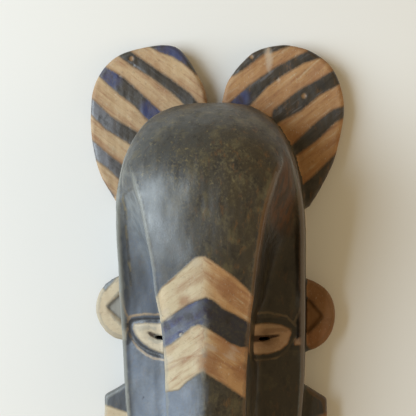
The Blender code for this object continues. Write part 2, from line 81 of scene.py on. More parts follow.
# The carved form, the same curves as the solid's. Stations pair a share of the height with a value.
form = {
    "faceWidth": 0.1966,
    "wall": 0.012,
    "rimLand": 0.0055,
    "rimRound": 0.0025,
    "widestAt": 0.063, "crownAt": 0.375, "chinAt": -0.5,
    "crownSquareness": 2.8, "chinSquareness": 3.4,
    "edge": ((0.28, 0.60), (0.20, 0.65), (0.14, 0.59), (0.06, 0.50), (-0.02, 0.42), (-0.12, 0.335),
             (-0.24, 0.29), (-0.37, 0.265)),
    "crest": ((0.19, 1.0), (0.075, 0.972), (0.0, 0.94), (-0.093, 0.90), (-0.19, 0.88), (-0.32, 0.865)),
    "arris": ((0.13, 0.92), (0.0, 0.865), (-0.05, 0.82), (-0.10, 0.80), (-0.20, 0.785), (-0.32, 0.765)),
    "cheek": ((0.22, 0.65), (0.15, 0.52), (0.075, 0.42), (0.0, 0.385), (-0.09, 0.37), (-0.30, 0.38),
              (-0.37, 0.43), (-0.43, 0.42)),
    "block": ((0.245, 0.765), (0.20, 0.685), (0.16, 0.622), (0.07, 0.538), (0.0, 0.496),
              (-0.055, 0.452), (-0.18, 0.412), (-0.32, 0.395)),
    "cove": ((0.24, 1.4), (0.17, 2.2), (0.10, 4.5), (0.03, 10.0), (-0.05, 20.0), (-0.32, 20.0)),
    "crownEdge": 0.255, "chinEdge": 0.178,
    "blockOnDome": 0.85, "landAtEnds": 0.09, "domeSquareness": 2.4,
    "channelStarts": 0.277, "channelFull": 0.165,
    "ridgeStarts": 0.17, "ridgeFull": 0.0,
    "noseEnds": -0.300, "noseGone": -0.326,
    "domeStarts": 0.187, "chinStarts": -0.40,
    "ridgeSoft": 2.3, "ridgeCrisp": 1.12,
    "lip": 0.0022, "swell": 0.004,
    "mouthAt": -0.3955, "jawSwell": 0.024, "jawReachX": 0.056, "jawReachY": 0.040,
    "eyeLine": -0.0775, "eyeTop": 0.016, "eyeBottom": 0.0455, "eyeReach": 0.213, "eyeSquareness": 3.4,
    "eyeGroove": 0.0022, "eyeGrooveWidth": 0.0055, "eyeLid": 0.0018,
}


def between(low, high, value):
    share = np.clip((value - low) / (high - low), 0.0, 1.0)
    return share * share * (3.0 - 2.0 * share)


def along(stations, share):
    # smooth curve through the stations, level beyond both ends
    points = sorted(stations)
    places = np.array([place for place, value in points])
    values = np.array([value for place, value in points])
    last = len(points) - 1
    slopes = np.array([(values[min(i + 1, last)] - values[max(i - 1, 0)])
                       / (places[min(i + 1, last)] - places[max(i - 1, 0)]) for i in range(last + 1)])
    inside = np.clip(share, places[0], places[-1])
    start = np.clip(np.searchsorted(places, inside, side="right") - 1, 0, last - 1)
    span = places[start + 1] - places[start]
    t = (inside - places[start]) / span
    return (values[start] * (1 + 2 * t) * (1 - t) ** 2 + slopes[start] * span * t * (1 - t) ** 2
            + values[start + 1] * t * t * (3 - 2 * t) + slopes[start + 1] * span * t * t * (t - 1))


def arch(value, squareness):
    return np.maximum(1.0 - np.minimum(np.abs(value), 1.0) ** squareness, 0.0) ** (1.0 / squareness)


def halfWidthAlong(y):
    middle, top, bottom = (form[name] * maskHeight for name in ("widestAt", "crownAt", "chinAt"))
    above = arch(np.maximum(y - middle, 0.0) / (top - middle), form["crownSquareness"])
    below = arch(np.maximum(middle - y, 0.0) / (middle - bottom), form["chinSquareness"])
    return form["faceWidth"] / 2 * above * below


def closingAlong(y):
    dome, top = form["domeStarts"] * maskHeight, form["crownAt"] * maskHeight
    chin, bottom = form["chinStarts"] * maskHeight, form["chinAt"] * maskHeight
    atCrown = arch(np.maximum(y - dome, 0.0) / (top - dome), 2.0)
    return atCrown * arch(np.maximum(chin - y, 0.0) / (chin - bottom), 2.0)


def depthAlong(name, y):
    end = np.where(y > 0, form["crownEdge"], form["chinEdge"])
    return (end + (along(form[name], y / maskHeight) - end) * closingAlong(y)) * maskDepth


def blockHalfAlong(y):
    return np.minimum(along(form["block"], y / maskHeight) * form["faceWidth"] / 2,
                      form["blockOnDome"] * halfWidthAlong(y))


# Every curve along the face is worked out once on fine rows, and read back at each vertex
rows = np.linspace(cadBox[0][1] - 0.002, cadBox[1][1] + 0.002, 8000)
profiles = {
    "half": halfWidthAlong(rows),
    "closing": closingAlong(rows),
    "block": blockHalfAlong(rows),
    "cove": along(form["cove"], rows / maskHeight),
    "ridge": 1.0 - between(form["ridgeFull"], form["ridgeStarts"], rows / maskHeight),
    "nose": between(form["noseGone"], form["noseEnds"], rows / maskHeight),
    "channel": 1.0 - between(form["channelFull"], form["channelStarts"], rows / maskHeight),
}
for curve in ("edge", "crest", "arris", "cheek"):
    profiles[curve] = depthAlong(curve, rows)


def at(name, y):
    return np.interp(y, rows, profiles[name])


def halfWidth(y):
    return at("half", y)


def blockHalf(y):
    return at("block", y)


def helmet(x, y):
    edge = at("edge", y)
    return edge + (at("crest", y) - edge) * arch(x / np.maximum(at("half", y), 1e-6), form["domeSquareness"])


def cheek(x, y):
    out = np.minimum(x / np.maximum(at("half", y), 1e-6), 1.0)
    edge, root = at("edge", y), at("cheek", y)
    offMouth = np.hypot(x / form["jawReachX"], (y - form["mouthAt"] * maskHeight) / form["jawReachY"])
    jaw = form["jawSwell"] * (1.0 - between(0.0, 1.0, offMouth))
    return root + (edge - root) * out ** 2 + form["swell"] * np.sin(np.pi * out) * at("closing", y) + jaw


def blockTop(x, y):
    ridge = at("ridge", y)
    power = form["ridgeSoft"] + (form["ridgeCrisp"] - form["ridgeSoft"]) * ridge
    crest = at("crest", y)
    roof = crest + (at("arris", y) - crest) * np.minimum(x / np.maximum(at("block", y), 1e-6), 1.0) ** power
    dome = helmet(x, y)
    onHead = dome + (roof - dome) * ridge
    ground = cheek(x, y)
    return ground + (onHead - ground) * at("nose", y)


def eyeDistance(x, y):
    # metres outside the eye's half almond, negative on the lids
    line = form["eyeLine"] * maskHeight
    root = blockHalf(np.array(line))

    def reach(px, py):
        above = py > line
        rise = np.where(above, form["eyeTop"], form["eyeBottom"]) * maskHeight
        power = np.where(above, form["eyeSquareness"], 2.0)
        across = np.abs(px - root) / (form["eyeReach"] * form["faceWidth"])
        return (across ** power + (np.abs(py - line) / rise) ** power) ** (1.0 / power) - 1.0

    step = 0.0002
    slopeX = (reach(x + step, y) - reach(x - step, y)) / (2 * step)
    slopeY = (reach(x, y + step) - reach(x, y - step)) / (2 * step)
    return reach(x, y) / np.maximum(np.hypot(slopeX, slopeY), 1e-6)


def eyeRelief(x, y):
    # groove round each eye and the swell of its lids
    relief = np.zeros(np.broadcast(x, y).shape)
    near = np.abs(y - form["eyeLine"] * maskHeight) < 0.05
    if not near.any():
        return relief
    distance = eyeDistance(x[near], y[near])
    offCentre = (distance - form["eyeGrooveWidth"] / 2) / (form["eyeGrooveWidth"] / 2)
    lid = between(0.0, form["eyeBottom"] * maskHeight / 2, -distance)
    relief[near] = form["eyeLid"] * lid - form["eyeGroove"] * np.exp(-offCentre ** 2)
    return relief


def carvedHeight(x, y):
    # the carved front without its raised strip; x is counted from the middle
    half, block = at("half", y), at("block", y)
    out = np.clip((x - block) / np.maximum(half - block, 1e-6), 0.0, 1.0)
    arris, ground = blockTop(block, y), cheek(x, y)
    rise = (1.0 - out) ** at("cove", y)
    cove = ground + (arris - ground) * rise + eyeRelief(x, y) * (1.0 - rise) ** 2
    dome = helmet(x, y)
    return np.where(x <= block, blockTop(x, y), dome + (cove - dome) * at("channel", y))


def rimCurves():
    # heights of the raised strip along the face, worked out once like the other curves
    half, edge, channel = profiles["half"], profiles["edge"], profiles["channel"]
    fit = np.minimum(1.0, half * form["landAtEnds"] / form["rimLand"])
    land, rounding = form["rimLand"] * fit, form["rimRound"] * fit
    inner = half - land
    top = carvedHeight(inner, rows)
    onDome = carvedHeight(half - rounding, rows)
    profiles["inner"] = inner
    profiles["outer"] = half - rounding
    profiles["start"] = inner - np.where(profiles["block"] < inner - rounding, rounding, 0.0)
    profiles["landInner"] = top + (edge - top) * channel
    profiles["landOuter"] = onDome + (edge - onDome) * channel
    profiles["lip"] = form["lip"] * channel * profiles["closing"]


rimCurves()


def frontHeight(x, y):
    # the carved front with the strip that runs round its edge
    block, inner, outer, start = at("block", y), at("inner", y), at("outer", y), at("start", y)
    share = 1.0 - np.clip((x - block) / np.maximum(start - block, 1e-6), 0.0, 1.0) ** (1 / 1.3)
    sink = np.where(x > block, at("lip", y) * (1.0 - between(0.0, 0.5, share)), 0.0)
    carved = carvedHeight(np.minimum(x, start), y) - sink
    climb = np.clip((x - start) / np.maximum(inner - start, 1e-6), 0.0, 1.0)
    across = np.clip((x - inner) / np.maximum(outer - inner, 1e-6), 0.0, 1.0)
    landInner = at("landInner", y)
    rim = landInner + (at("landOuter", y) - landInner) * across
    return np.where(x < start, carved, carved + (rim - carved) * climb)


def stage(message):
    print("mask: " + message)


# The piece: one mesh over the whole mask, fine enough for the adze's marks and the worn edges
carving = {
    "weld": 0.00001,
    "voxel": 0.00145,
    "snapWithin": 0.0016,
    "triangles": 194000,
    "outsideWeight": 0.5,      # how readily the shown side is thinned, next to 1 for the inside
    "inset": 0.00005,          # kept inside the solid's box by this much
    "adzeWaves": 0.00032,
    "knifeWaves": 0.00012,
    "seed": 11,
}


def makeBody():
    bpy.ops.object.select_all(action="DESELECT")
    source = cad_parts["carved_mask"]
    body = bpy.data.objects.new("painted_mask", source.data.copy())
    bpy.context.scene.collection.objects.link(body)
    bpy.context.view_layer.objects.active = body
    body.select_set(True)
    bpy.ops.object.mode_set(mode="EDIT")
    bpy.ops.mesh.select_all(action="SELECT")
    bpy.ops.mesh.remove_doubles(threshold=carving["weld"])
    bpy.ops.object.mode_set(mode="OBJECT")
    step = body.modifiers.new("even", "REMESH")
    step.mode = "VOXEL"
    step.voxel_size = carving["voxel"]
    bpy.ops.object.modifier_apply(modifier=step.name)
    spare = [a for a in body.data.attributes if a.name.startswith("custom") or a.name == "sharp_edge"]
    for attribute in spare:
        body.data.attributes.remove(attribute)
    stage(f"remeshed to {len(body.data.polygons)} faces")
    return body


def readPoints(mesh):
    flat = np.zeros(len(mesh.vertices) * 3)
    mesh.vertices.foreach_get("co", flat)
    return flat.reshape(-1, 3)


def writePoints(mesh, points):
    mesh.vertices.foreach_set("co", points.ravel())
    mesh.update()


def readNormals(mesh):
    flat = np.zeros(len(mesh.vertices) * 3, np.float32)
    mesh.vertex_normals.foreach_get("vector", flat)
    return flat.reshape(-1, 3).astype(float)


def readEdges(mesh):
    flat = np.zeros(len(mesh.edges) * 2, np.int32)
    mesh.edges.foreach_get("vertices", flat)
    return flat.reshape(-1, 2)


def neighbourMean(values, edges):
    # mean of each vertex's neighbours, for one column or several
    count = np.bincount(edges.ravel(), minlength=len(values)).astype(float)
    columns = values.reshape(len(values), -1)
    result = np.empty_like(columns)
    for index in range(columns.shape[1]):
        column = columns[:, index]
        result[:, index] = (np.bincount(edges[:, 0], column[edges[:, 1]], len(values))
                            + np.bincount(edges[:, 1], column[edges[:, 0]], len(values)))
    return (result / count[:, None]).reshape(values.shape)


def relax(points, edges, weight, rounds):
    # each round moves a vertex towards its neighbours by its own weight
    for _ in range(rounds):
        points = points + (neighbourMean(points, edges) - points) * weight[:, None]
    return points


def waves(points, wavelength, stretch, seed, count=28):
    # smooth random field of about -1 to 1; stretch lengthens it along X, Y and Z
    draw = np.random.default_rng(seed)
    directions = draw.normal(size=(count, 3))
    directions /= np.linalg.norm(directions, axis=1)[:, None]
    rates = 2 * np.pi / (wavelength * draw.uniform(0.7, 1.5, count))
    phases = draw.uniform(0, 2 * np.pi, count)
    field = np.zeros(len(points))
    for direction, rate, phase in zip(directions, rates, phases):
        field += np.sin(points @ (direction * rate / np.array(stretch)) + phase)
    return field / math.sqrt(count / 2) / 1.6


def signedDistance(spots, corners):
    # how far spots lie inside a closed outline, negative outside, in the outline's units
    ends = np.array(corners, float)
    nearest = np.full(len(spots), 1e9)
    inside = np.zeros(len(spots), bool)
    for start, end in zip(ends, np.roll(ends, -1, axis=0)):
        run = end - start
        toSpot = spots - start
        t = np.clip((toSpot @ run) / max(run @ run, 1e-12), 0.0, 1.0)
        nearest = np.minimum(nearest, np.hypot(*(toSpot - t[:, None] * run).T))
        crosses = (start[1] > spots[:, 1]) != (end[1] > spots[:, 1])
        if abs(run[1]) > 1e-12:
            inside ^= crosses & (spots[:, 0] < start[0] + (spots[:, 1] - start[1]) * run[0] / run[1])
    return np.where(inside, nearest, -nearest)


def lineDistance(spots, corners):
    # distance from an open line through the corners
    ends = np.array(corners, float)
    nearest = np.full(len(spots), 1e9)
    for start, end in zip(ends[:-1], ends[1:]):
        run = end - start
        toSpot = spots - start
        t = np.clip((toSpot @ run) / max(run @ run, 1e-12), 0.0, 1.0)
        nearest = np.minimum(nearest, np.hypot(*(toSpot - t[:, None] * run).T))
    return nearest


def offFront(points):
    # distance out of the carved front, and the slopes of that front
    x, y = np.abs(points[:, 0]), points[:, 1]
    step = 0.0002
    height = frontHeight(x, y)
    slopeX = (frontHeight(x + step, y) - height) / step
    slopeY = (frontHeight(x, y + step) - height) / step
    length = np.sqrt(1 + slopeX ** 2 + slopeY ** 2)
    outwards = np.stack((-slopeX * np.sign(points[:, 0]), -slopeY, np.ones(len(x))), 1) / length[:, None]
    return (points[:, 2] - height) / length, outwards


def offWall(points):
    # distance out of the face's upright wall, and its outward direction
    x, y = points[:, 0], points[:, 1]
    middle, top, bottom = (form[name] * maskHeight for name in ("widestAt", "crownAt", "chinAt"))
    power = np.where(y > middle, form["crownSquareness"], form["chinSquareness"])
    reach = np.where(y > middle, top - middle, middle - bottom)
    half = form["faceWidth"] / 2
    across, down = np.abs(x) / half, np.abs(y - middle) / reach
    value = across ** power + down ** power - 1.0
    slopeX = power * across ** (power - 1) / half * np.sign(x)
    slopeY = power * down ** (power - 1) / reach * np.sign(y - middle)
    length = np.maximum(np.hypot(slopeX, slopeY), 1e-6)
    outwards = np.stack((slopeX / length, slopeY / length, np.zeros(len(x))), 1)
    return value / length, outwards


def snapToForm(points, normals):
    # puts the front and the wall exactly on their curves, so that no facet of the solid shows
    near = carving["snapWithin"]
    edge = at("edge", points[:, 1])
    for _ in range(2):
        distance, outwards = offFront(points)
        inFace = np.abs(points[:, 0]) < halfWidth(points[:, 1]) - form["rimRound"] * 0.9
        faces = between(0.1, 0.5, (normals * outwards).sum(1))
        weight = (1 - between(near * 0.6, near, np.abs(distance))) * faces * inFace
        points = points - outwards * (distance * weight)[:, None]
        distance, outwards = offWall(points)
        below = 1 - between(edge - 0.004, edge - 0.002, points[:, 2])
        faces = between(0.5, 0.9, (normals * outwards).sum(1))
        weight = (1 - between(near * 0.6, near, np.abs(distance))) * faces * below
        points = points - outwards * (distance * weight)[:, None]
    return points


# Paint layout, read off the photo in its pixels: each leaf ear's dark bands, upper edge then lower edge
leafBands = {
    "left": (
        (((140, 40), (200, 40), (196, 74)), ((149, 46), (160, 52), (172, 56), (183, 63), (192, 70))),
        (((127, 49), (129, 51), (151, 66), (174, 82), (190, 94), (198, 104)),
         ((119, 56), (133, 66), (153, 78), (175, 95), (181, 101), (190, 110))),
        (((98, 62), (104.7, 67), (123.6, 78), (148.9, 101), (160, 111.5), (170, 120)),
         ((94, 73), (99, 76), (117, 92), (135, 106), (147.7, 119.5), (158, 129))),
        (((86, 95), (93, 100), (111, 117), (136, 132), (146, 138)),
         ((86, 110), (91, 114), (106, 129), (128, 142.5), (138, 150))),
        (((86, 136), (91.5, 140), (107.5, 154), (118, 162), (128, 169)),
         ((88, 154), (95, 158.5), (110, 170), (117, 177), (126, 184))),
        (((98, 178), (103, 182), (114, 196)), ((92, 190), (104, 206))),
    ),
    "right": (
        (((228, 76), (233, 70), (250, 55), (268, 42)), ((234, 75), (246, 67), (255, 60), (266, 52))),
        (((270, 40), (290, 40)), ((270, 53), (289, 45.5))),
        (((222, 108), (231, 102), (249, 86), (273.5, 69), (295, 57.5), (309, 50.7), (318, 46)),
         ((240, 114), (249, 106), (266.6, 87), (282.6, 75), (303, 63), (321.7, 57), (330, 54))),
        (((274, 110), (282.6, 103.5), (300, 90), (321.7, 78), (333.7, 71), (342, 66)),
         ((268, 131), (279, 122), (301, 110), (319, 95), (339, 84), (348, 79))),
        (((284, 152), (292, 146), (315, 124), (333, 110), (350, 105)),
         ((287, 161), (297.6, 154), (318, 139), (335, 122), (350, 114))),
        (((296, 191), (303, 185), (315, 175), (334, 156), (342, 148)), ((296, 210), (310, 225), (350, 180))),
    ),
}
photoColours = {
    # patches of colour in the photo's pixels: middle and radius, and for the streak its outline
    "leafBlue": (((151, 111), 12), ((109, 78), 12), ((172, 54), 17), ((240, 98), 10)),
    "rawChips": (((131.6, 58.7), 2.8), ((251.7, 57), 2.4), ((304, 96), 3.0)),
    "chalkChips": (((133, 65.6), 2.4), ((120, 76), 2.2), ((277.5, 79.4), 2.6), ((181, 335), 3.0)),
    "chalky": (((167, 315), 8), ((166, 360), 10), ((231, 354), 8), ((212, 348), 6), ((196, 262), 6)),
    "reddish": (((207, 364), 13), ((241, 374), 11), ((228, 286), 10), ((184, 300), 8)),
    "paleStreak": ((262, 46), (271, 46), (274, 60), (270, 75), (266, 70), (264, 58)),
}
chevrons = {
    "firstTop": ((146, 306), (156, 296), (161, 288), (175.6, 275), (187.4, 264), (194.6, 258), (199, 256),
                 (205, 256), (211, 260), (223, 268), (235, 277), (247, 288), (252, 294), (262, 304)),
    "firstBottom": ((150, 332), (162.5, 322.5), (175.6, 313), (187.4, 305), (199, 300), (206, 298),
                    (213.5, 301), (223, 309), (235, 315), (245.6, 321), (250, 324), (262, 332)),
    "blueBottom": ((150, 353), (161, 348.6), (171, 344), (180, 337), (191, 327), (199, 324), (206, 327),
                   (217, 334), (230, 343), (241, 347), (248, 347), (262, 348)),
    "secondBottom": ((154, 397), (166, 392.5), (179, 390), (187, 382), (197, 375), (203, 372), (211, 377),
                     (223, 384), (235, 392.5), (244, 398), (258, 408)),
    "line": ((166, 364), (183, 358), (204, 355), (227, 364), (235, 369), (247, 374)),
}


def bandOutline(upper, lower):
    return tuple(upper) + tuple(reversed(lower))


# The leaf ears' boards, in metres: outside the face's wall, crownward of the side ears
boards = {"offFace": 0.0006, "from": 0.07, "heights": (0.0075, 0.0245)}


def boardTop(points):
    # true on the leaf ears' boards
    distance, _ = offWall(points)
    low, high = boards["heights"]
    inHeight = (points[:, 2] > low) & (points[:, 2] < high)
    return (distance > boards["offFace"]) & (points[:, 1] > boards["from"]) & inHeight


def leafDark(points, spots):
    # pixels inside the dark bands of the leaf ears, negative on the tan between them
    best = np.full(len(points), -30.0)
    for side, sign in (("left", -1), ("right", 1)):
        own = points[:, 0] * sign > 0
        for upper, lower in leafBands[side]:
            best[own] = np.maximum(best[own], signedDistance(spots[own], bandOutline(upper, lower)))
    return best


def dent(spots, marks, depth):
    sunk = np.zeros(len(spots))
    for middle, radius in marks:
        away = np.hypot(*(spots - np.array(middle)).T) / radius
        sunk = np.maximum(sunk, depth * (1 - between(0.3, 1.0, away)))
    return sunk


def bandPhase(spots, side):
    # 0 along a tan band's upper edge to 1 along its lower edge
    upper = np.min([lineDistance(spots, lower) for upper, lower in leafBands[side]], axis=0)
    lower = np.min([lineDistance(spots, upper) for upper, lower in leafBands[side]], axis=0)
    return upper / np.maximum(upper + lower, 1e-6)


# Where one part of the mask ends and the next begins, in metres
borders = {
    "outside": 0.0004,                             # off the face's wall
    "noseOver": 0.004, "noseDrop": 3.5,            # past the block's edge, and millimetres below it
    "noseWithin": 0.004, "cheekWithin": 0.003, "cheekOver": 0.0003,
    "wrapFrom": 0.0008, "wrapDrop": 1.6,           # the chevrons turn over the edge, in millimetres
    "sideBelow": 0.07, "lugMiddle": -0.1385, "lugBelow": -0.150,
    "mouthHalf": (0.037, 0.024), "mouthRise": (0.0035, 0.008),
    "bareBelow": (0.0006, 0.0022),
}

# What the knife left on top of the plain form, in metres
relief = {
    "welt": 0.0007, "weltWidth": 0.0020,           # rounded welt along the forehead's arris
    "weltTop": 0.138, "weltEnds": -0.030,
    "band": 0.0003,                                # paint and knife line between the leaf ears' bands
    "chip": 0.0008,
    "slit": 0.0016,                                # the cut that runs on from each eye's slit
    "undercut": 0.0052,                            # how far the right eye runs in under the nose's edge
    "undercutNear": (0.014, 0.040), "undercutWide": 0.020,
    "valley": 0.0009, "valleyWidth": 5.0,          # the lids fall towards the slit; width in pixels
    "crestShift": 0.0022, "crestRound": 0.0036,
    "leanAt": 0.010, "leanSpread": 0.055,          # where along the face the crest leans most
    "crestAbove": 0.08, "crestBelow": 0.05,        # the rounded crest: this far up, chinward of this
    "flank": 0.007, "flankFrom": 0.02,             # the nose's upright sides: height over the cheek, place
    "eyeNear": 0.05,                               # how far from the eye line the lids and slits reach
    "leftChannel": (0.236, 0.178),                 # the left channel starts lower than the right one
    "liftFrom": 0.05, "liftMost": 0.006,
    "pocketFill": 0.5,                             # how much shallower the side ears' pockets look
    "rimSoft": (0.0028, 0.0105),                   # the step inside the rim is worn round between these
    "rimSoftFrom": -0.02, "rimSoftAbove": 0.02,
}
# The cut that runs on from each eye's slit, in the photo's pixels
slits = {
    "left": ((147, 332.2), (150, 331.6), (155, 333.4), (160, 336), (161, 341), (155, 338.5), (150, 336)),
    "right": ((248, 336.2), (258, 335.6), (270, 335), (279, 334.6), (280, 336.2), (271, 338.4), (264, 341.4),
              (256, 342), (248, 341.6)),
}


def leftChannelLift(points):
    # how much higher the left side lies, where its channel starts lower down
    x, y = np.abs(points[:, 0]), points[:, 1]
    whole = at("channel", y)
    own = 1.0 - between(relief["leftChannel"][1], relief["leftChannel"][0], y / maskHeight)
    low = carvedHeight(x, y)
    dome = helmet(x, y)
    full = np.where(whole > 1e-3, (low - dome) / np.maximum(whole, 1e-3), 0.0)
    lift = full * (own - whole)
    inChannel = (points[:, 0] < 0) & (x > at("block", y)) & (y > relief["liftFrom"])
    return np.where(inChannel, np.clip(lift, 0.0, relief["liftMost"]), 0.0)


# The side ears' pockets, in metres, with the heights that their walls and floors lie between
sideEar = {"top": 0.028, "middle": -0.024, "half": 0.034, "reach": 0.1225,
           "walls": (0.0215, 0.0268), "floors": (0.0185, 0.0252)}


def sideEarPocket(points, normals):
    # true on the walls and the floor of the side ears' pockets
    x, y, z = points.T
    offFace, _ = offWall(points)
    near = (offFace > borders["outside"]) & (np.abs(y - sideEar["middle"]) < sideEar["half"])
    low, high = sideEar["walls"]
    wall = (z > low) & (z < high) & (normals[:, 2] < 0.9) & (normals[:, 2] > -0.3)
    wall &= np.abs(x) < sideEar["reach"]
    low, high = sideEar["floors"]
    floor = (z > low) & (z < high) & (normals[:, 2] > 0.8)
    return near & (wall | floor)


def undercut(points):
    # how far the right eye's lids and the nose's side above them lie towards the middle
    x, y, z = points.T
    foot = cheek(np.abs(x), y)
    share = np.clip((z - foot) / np.maximum(at("arris", y) - foot, 1e-6), 0.0, 1.0)
    near = 1 - between(*relief["undercutNear"], np.abs(y - form["eyeLine"] * maskHeight))
    offBlock = x - blockHalf(y)
    across = (1 - between(0.0, relief["undercutWide"], offBlock)) * (offBlock > -0.001)
    return relief["undercut"] * (1 - share) * near * across


def wornRound(points, edges, normals, offFace, outside):
    # wears round the boards' edges, the slits' rims, the step inside the rim and the nose's crest
    edgeOnly = outside & (np.abs(normals[:, 2]) < 0.97)
    points = relax(points, edges, np.where(edgeOnly, 0.5, 0.0), 8)
    points = relax(points, edges, np.full(len(points), 0.35), 1)
    inSlit = np.max([signedDistance(onPhoto(points), outline) for outline in slits.values()], axis=0)
    points = relax(points, edges, 0.5 * between(-4.0, -2.0, inSlit), 5)
    offRim = halfWidth(points[:, 1]) - np.abs(points[:, 0])
    low, high = relief["rimSoft"]
    step = between(low, low + 0.002, offRim) * (1 - between(high - 0.002, high, offRim))
    step *= (points[:, 1] > relief["rimSoftFrom"]) * (points[:, 2] > relief["rimSoftAbove"]) * (offFace < 0)
    points = relax(points, edges, 0.5 * step, 14)
    crest = np.exp(-(points[:, 0] / relief["crestRound"]) ** 2)
    crest *= (points[:, 2] > relief["crestAbove"]) * (points[:, 1] < relief["crestBelow"])
    points = relax(points, edges, 0.5 * crest, 10)
    return points


def knifeMarks(points, normals, onBoard, onFace, shown):
    # how far each vertex moves along its normal for the welts, cuts, chips and soft waves
    x, y, z = points.T
    facing = between(0.3, 0.8, normals[:, 2])
    seed = carving["seed"]
    adze = waves(points, 0.030, (1.0, 1.8, 1.0), seed)
    knife = waves(points, 0.009, (1.0, 2.2, 1.0), seed + 1)
    lift = (carving["adzeWaves"] * adze + carving["knifeWaves"] * knife) * (0.35 + 0.65 * shown)
    onArris = between(relief["weltEnds"] - 0.03, relief["weltEnds"] + 0.03, y)
    onArris *= 1 - between(relief["weltTop"] - 0.03, relief["weltTop"], y)
    offArris = np.abs(x) - blockHalf(y) + relief["weltWidth"] * 0.8
    lift += relief["welt"] * np.exp(-(offArris / relief["weltWidth"]) ** 2) * onArris * onFace
    spots = onPhoto(points)
    inBand = between(-1.2, 2.2, leafDark(points[onBoard], spots[onBoard]))
    lift[onBoard] += relief["band"] * inBand * facing[onBoard]
    low = z - cheek(np.abs(x), y) < relief["flank"]
    eye = np.nonzero(onFace & low & (np.abs(y - form["eyeLine"] * maskHeight) < relief["eyeNear"]))[0]
    inSlit = np.max([signedDistance(spots[eye], outline) for outline in slits.values()], axis=0)
    onLid = between(1.0, -4.0, eyeDistance(np.abs(x[eye]), y[eye]) * 1000)
    valley = relief["valley"] * np.exp(-(np.minimum(inSlit, 0.0) / relief["valleyWidth"]) ** 2)
    lift[eye] -= onLid * (relief["slit"] * between(-1.4, 1.0, inSlit) + valley)
    chips = photoColours["rawChips"] + photoColours["chalkChips"]
    lift -= dent(spots, chips, relief["chip"]) * facing
    lift *= between(0.0, 0.002, z)
    return lift


def carve(body):
    mesh = body.data
    points, edges = readPoints(mesh), readEdges(mesh)
    points = snapToForm(points, readNormals(mesh))
    stage("snapped to the carved form")
    writePoints(mesh, points)
    normals = readNormals(mesh)
    onBoard = boardTop(points)
    offFace, _ = offWall(points)
    outside = offFace > 0.0006
    points = wornRound(points, edges, normals, offFace, outside)
    distance, _ = offFront(points)
    front = (distance > -0.004) | outside
    back = (points[:, 2] < 0.0008) | (normals[:, 2] < -0.7)
    shown = np.where(front & ~back, 1.0, 0.0)
    shown = neighbourMean(neighbourMean(shown, edges), edges)
    onFace = (np.abs(distance) < 0.0015) & ~outside
    points[:, 2] += leftChannelLift(points) * onFace
    pocket = sideEarPocket(points, normals)
    points[:, 2] += relief["pocketFill"] * (sideEar["top"] - points[:, 2]) * pocket
    x, y, z = points.T
    # the nose's crest and the forehead lean a little to the right
    offCrest = np.abs(x) / np.maximum(blockHalf(y), 1e-6)
    lean = np.exp(-((y - relief["leanAt"]) / relief["leanSpread"]) ** 2) * (1 - between(0.3, 1.0, offCrest))
    points[:, 0] += relief["crestShift"] * lean * (z > 0.05) * onFace
    writePoints(mesh, points)
    normals = readNormals(mesh)
    lift = knifeMarks(points, normals, onBoard, onFace, shown)
    points = points + normals * lift[:, None]
    points[:, 0] -= undercut(points) * onFace
    low, high = np.array(cadBox[0]), np.array(cadBox[1])
    points = np.clip(points, low + carving["inset"], high - carving["inset"])
    writePoints(mesh, points)
    stage("carved the marks")


def addAttribute(mesh, name, values):
    attribute = mesh.attributes.new(name, "FLOAT", "POINT")
    attribute.data.foreach_set("value", np.asarray(values, np.float32))


def thin(body):
    # fewer triangles where they aren't needed: the plain inside most of all
    mesh = body.data
    points = readPoints(mesh)
    distance, _ = offFront(points)
    offFace, _ = offWall(points)
    inside = (distance < -form["wall"] * 0.45) & (offFace < -form["wall"] * 0.4)
    group = body.vertex_groups.new(name="plain")
    group.add(np.nonzero(inside)[0].tolist(), 1.0, "REPLACE")
    group.add(np.nonzero(~inside)[0].tolist(), carving["outsideWeight"], "REPLACE")
    bpy.ops.object.select_all(action="DESELECT")
    body.select_set(True)
    bpy.context.view_layer.objects.active = body
    step = body.modifiers.new("thin", "DECIMATE")
    step.vertex_group = group.name
    step.ratio = carving["triangles"] / (len(mesh.polygons) * 2)
    bpy.ops.object.modifier_apply(modifier=step.name)
    body.vertex_groups.clear()
    count = sum(len(face.vertices) - 2 for face in mesh.polygons)
    stage(f"thinned to {count} triangles")


# Where the eyes' painted lines and the small tan marks run, in the photo's pixels
eyeLines = {
    "leftRing": ((164, 314.5), (145, 314), (130.8, 316), (127.3, 321.6), (127.8, 331.6), (131.8, 338.5),
                 (137.7, 347.5), (145.7, 354.4), (153.6, 358.4), (164, 360)),
    "leftRim": ((119.8, 293), (123.8, 307.7), (128.3, 319.7)),
    "rightRing": ((248, 314), (268, 312.5), (286, 316), (296, 326)),
    "rightLow": ((296, 336), (287, 350), (276, 358), (250, 360)),
    "rightRim": ((300.7, 308), (294.7, 322)),
}
eyeShapes = {
    "left": ((164, 323), (158.6, 323), (145, 322.6), (133.8, 323.6), (132.6, 328.6), (135.7, 335.6),
             (141.7, 342.5), (149.7, 348.5), (158.6, 352.5), (164, 354)),
    "right": ((246, 326.5), (251, 325.7), (260, 323.4), (270, 323), (280, 324.4), (288, 327.7),
              (291.7, 331.5), (288, 343.6), (280, 350.5), (268, 354), (258, 354.6), (246, 353)),
    "leftPatch": ((120, 330), (128, 328), (126, 340), (121, 342)),
    "rightPatch": ((294.7, 339), (302, 337), (303, 345), (294, 345)),
}
# Worn wood at the top of the right channel, in the photo's pixels
wornOrange = ((284, 152), (292, 156), (297, 180), (298, 215), (294, 238), (280, 236), (268, 224), (266, 205),
              (273, 184), (281, 163))
# Lines of painted shade along the left rim and over the left channel's top, where tan dots of paint have also
# gathered
creases = {
    "side": ((123.5, 196), (125, 206), (126, 220), (127.2, 240), (129, 262), (131, 285)),
    "hook": ((122.5, 200), (124, 195), (127, 191.5), (132, 188.5)),
}
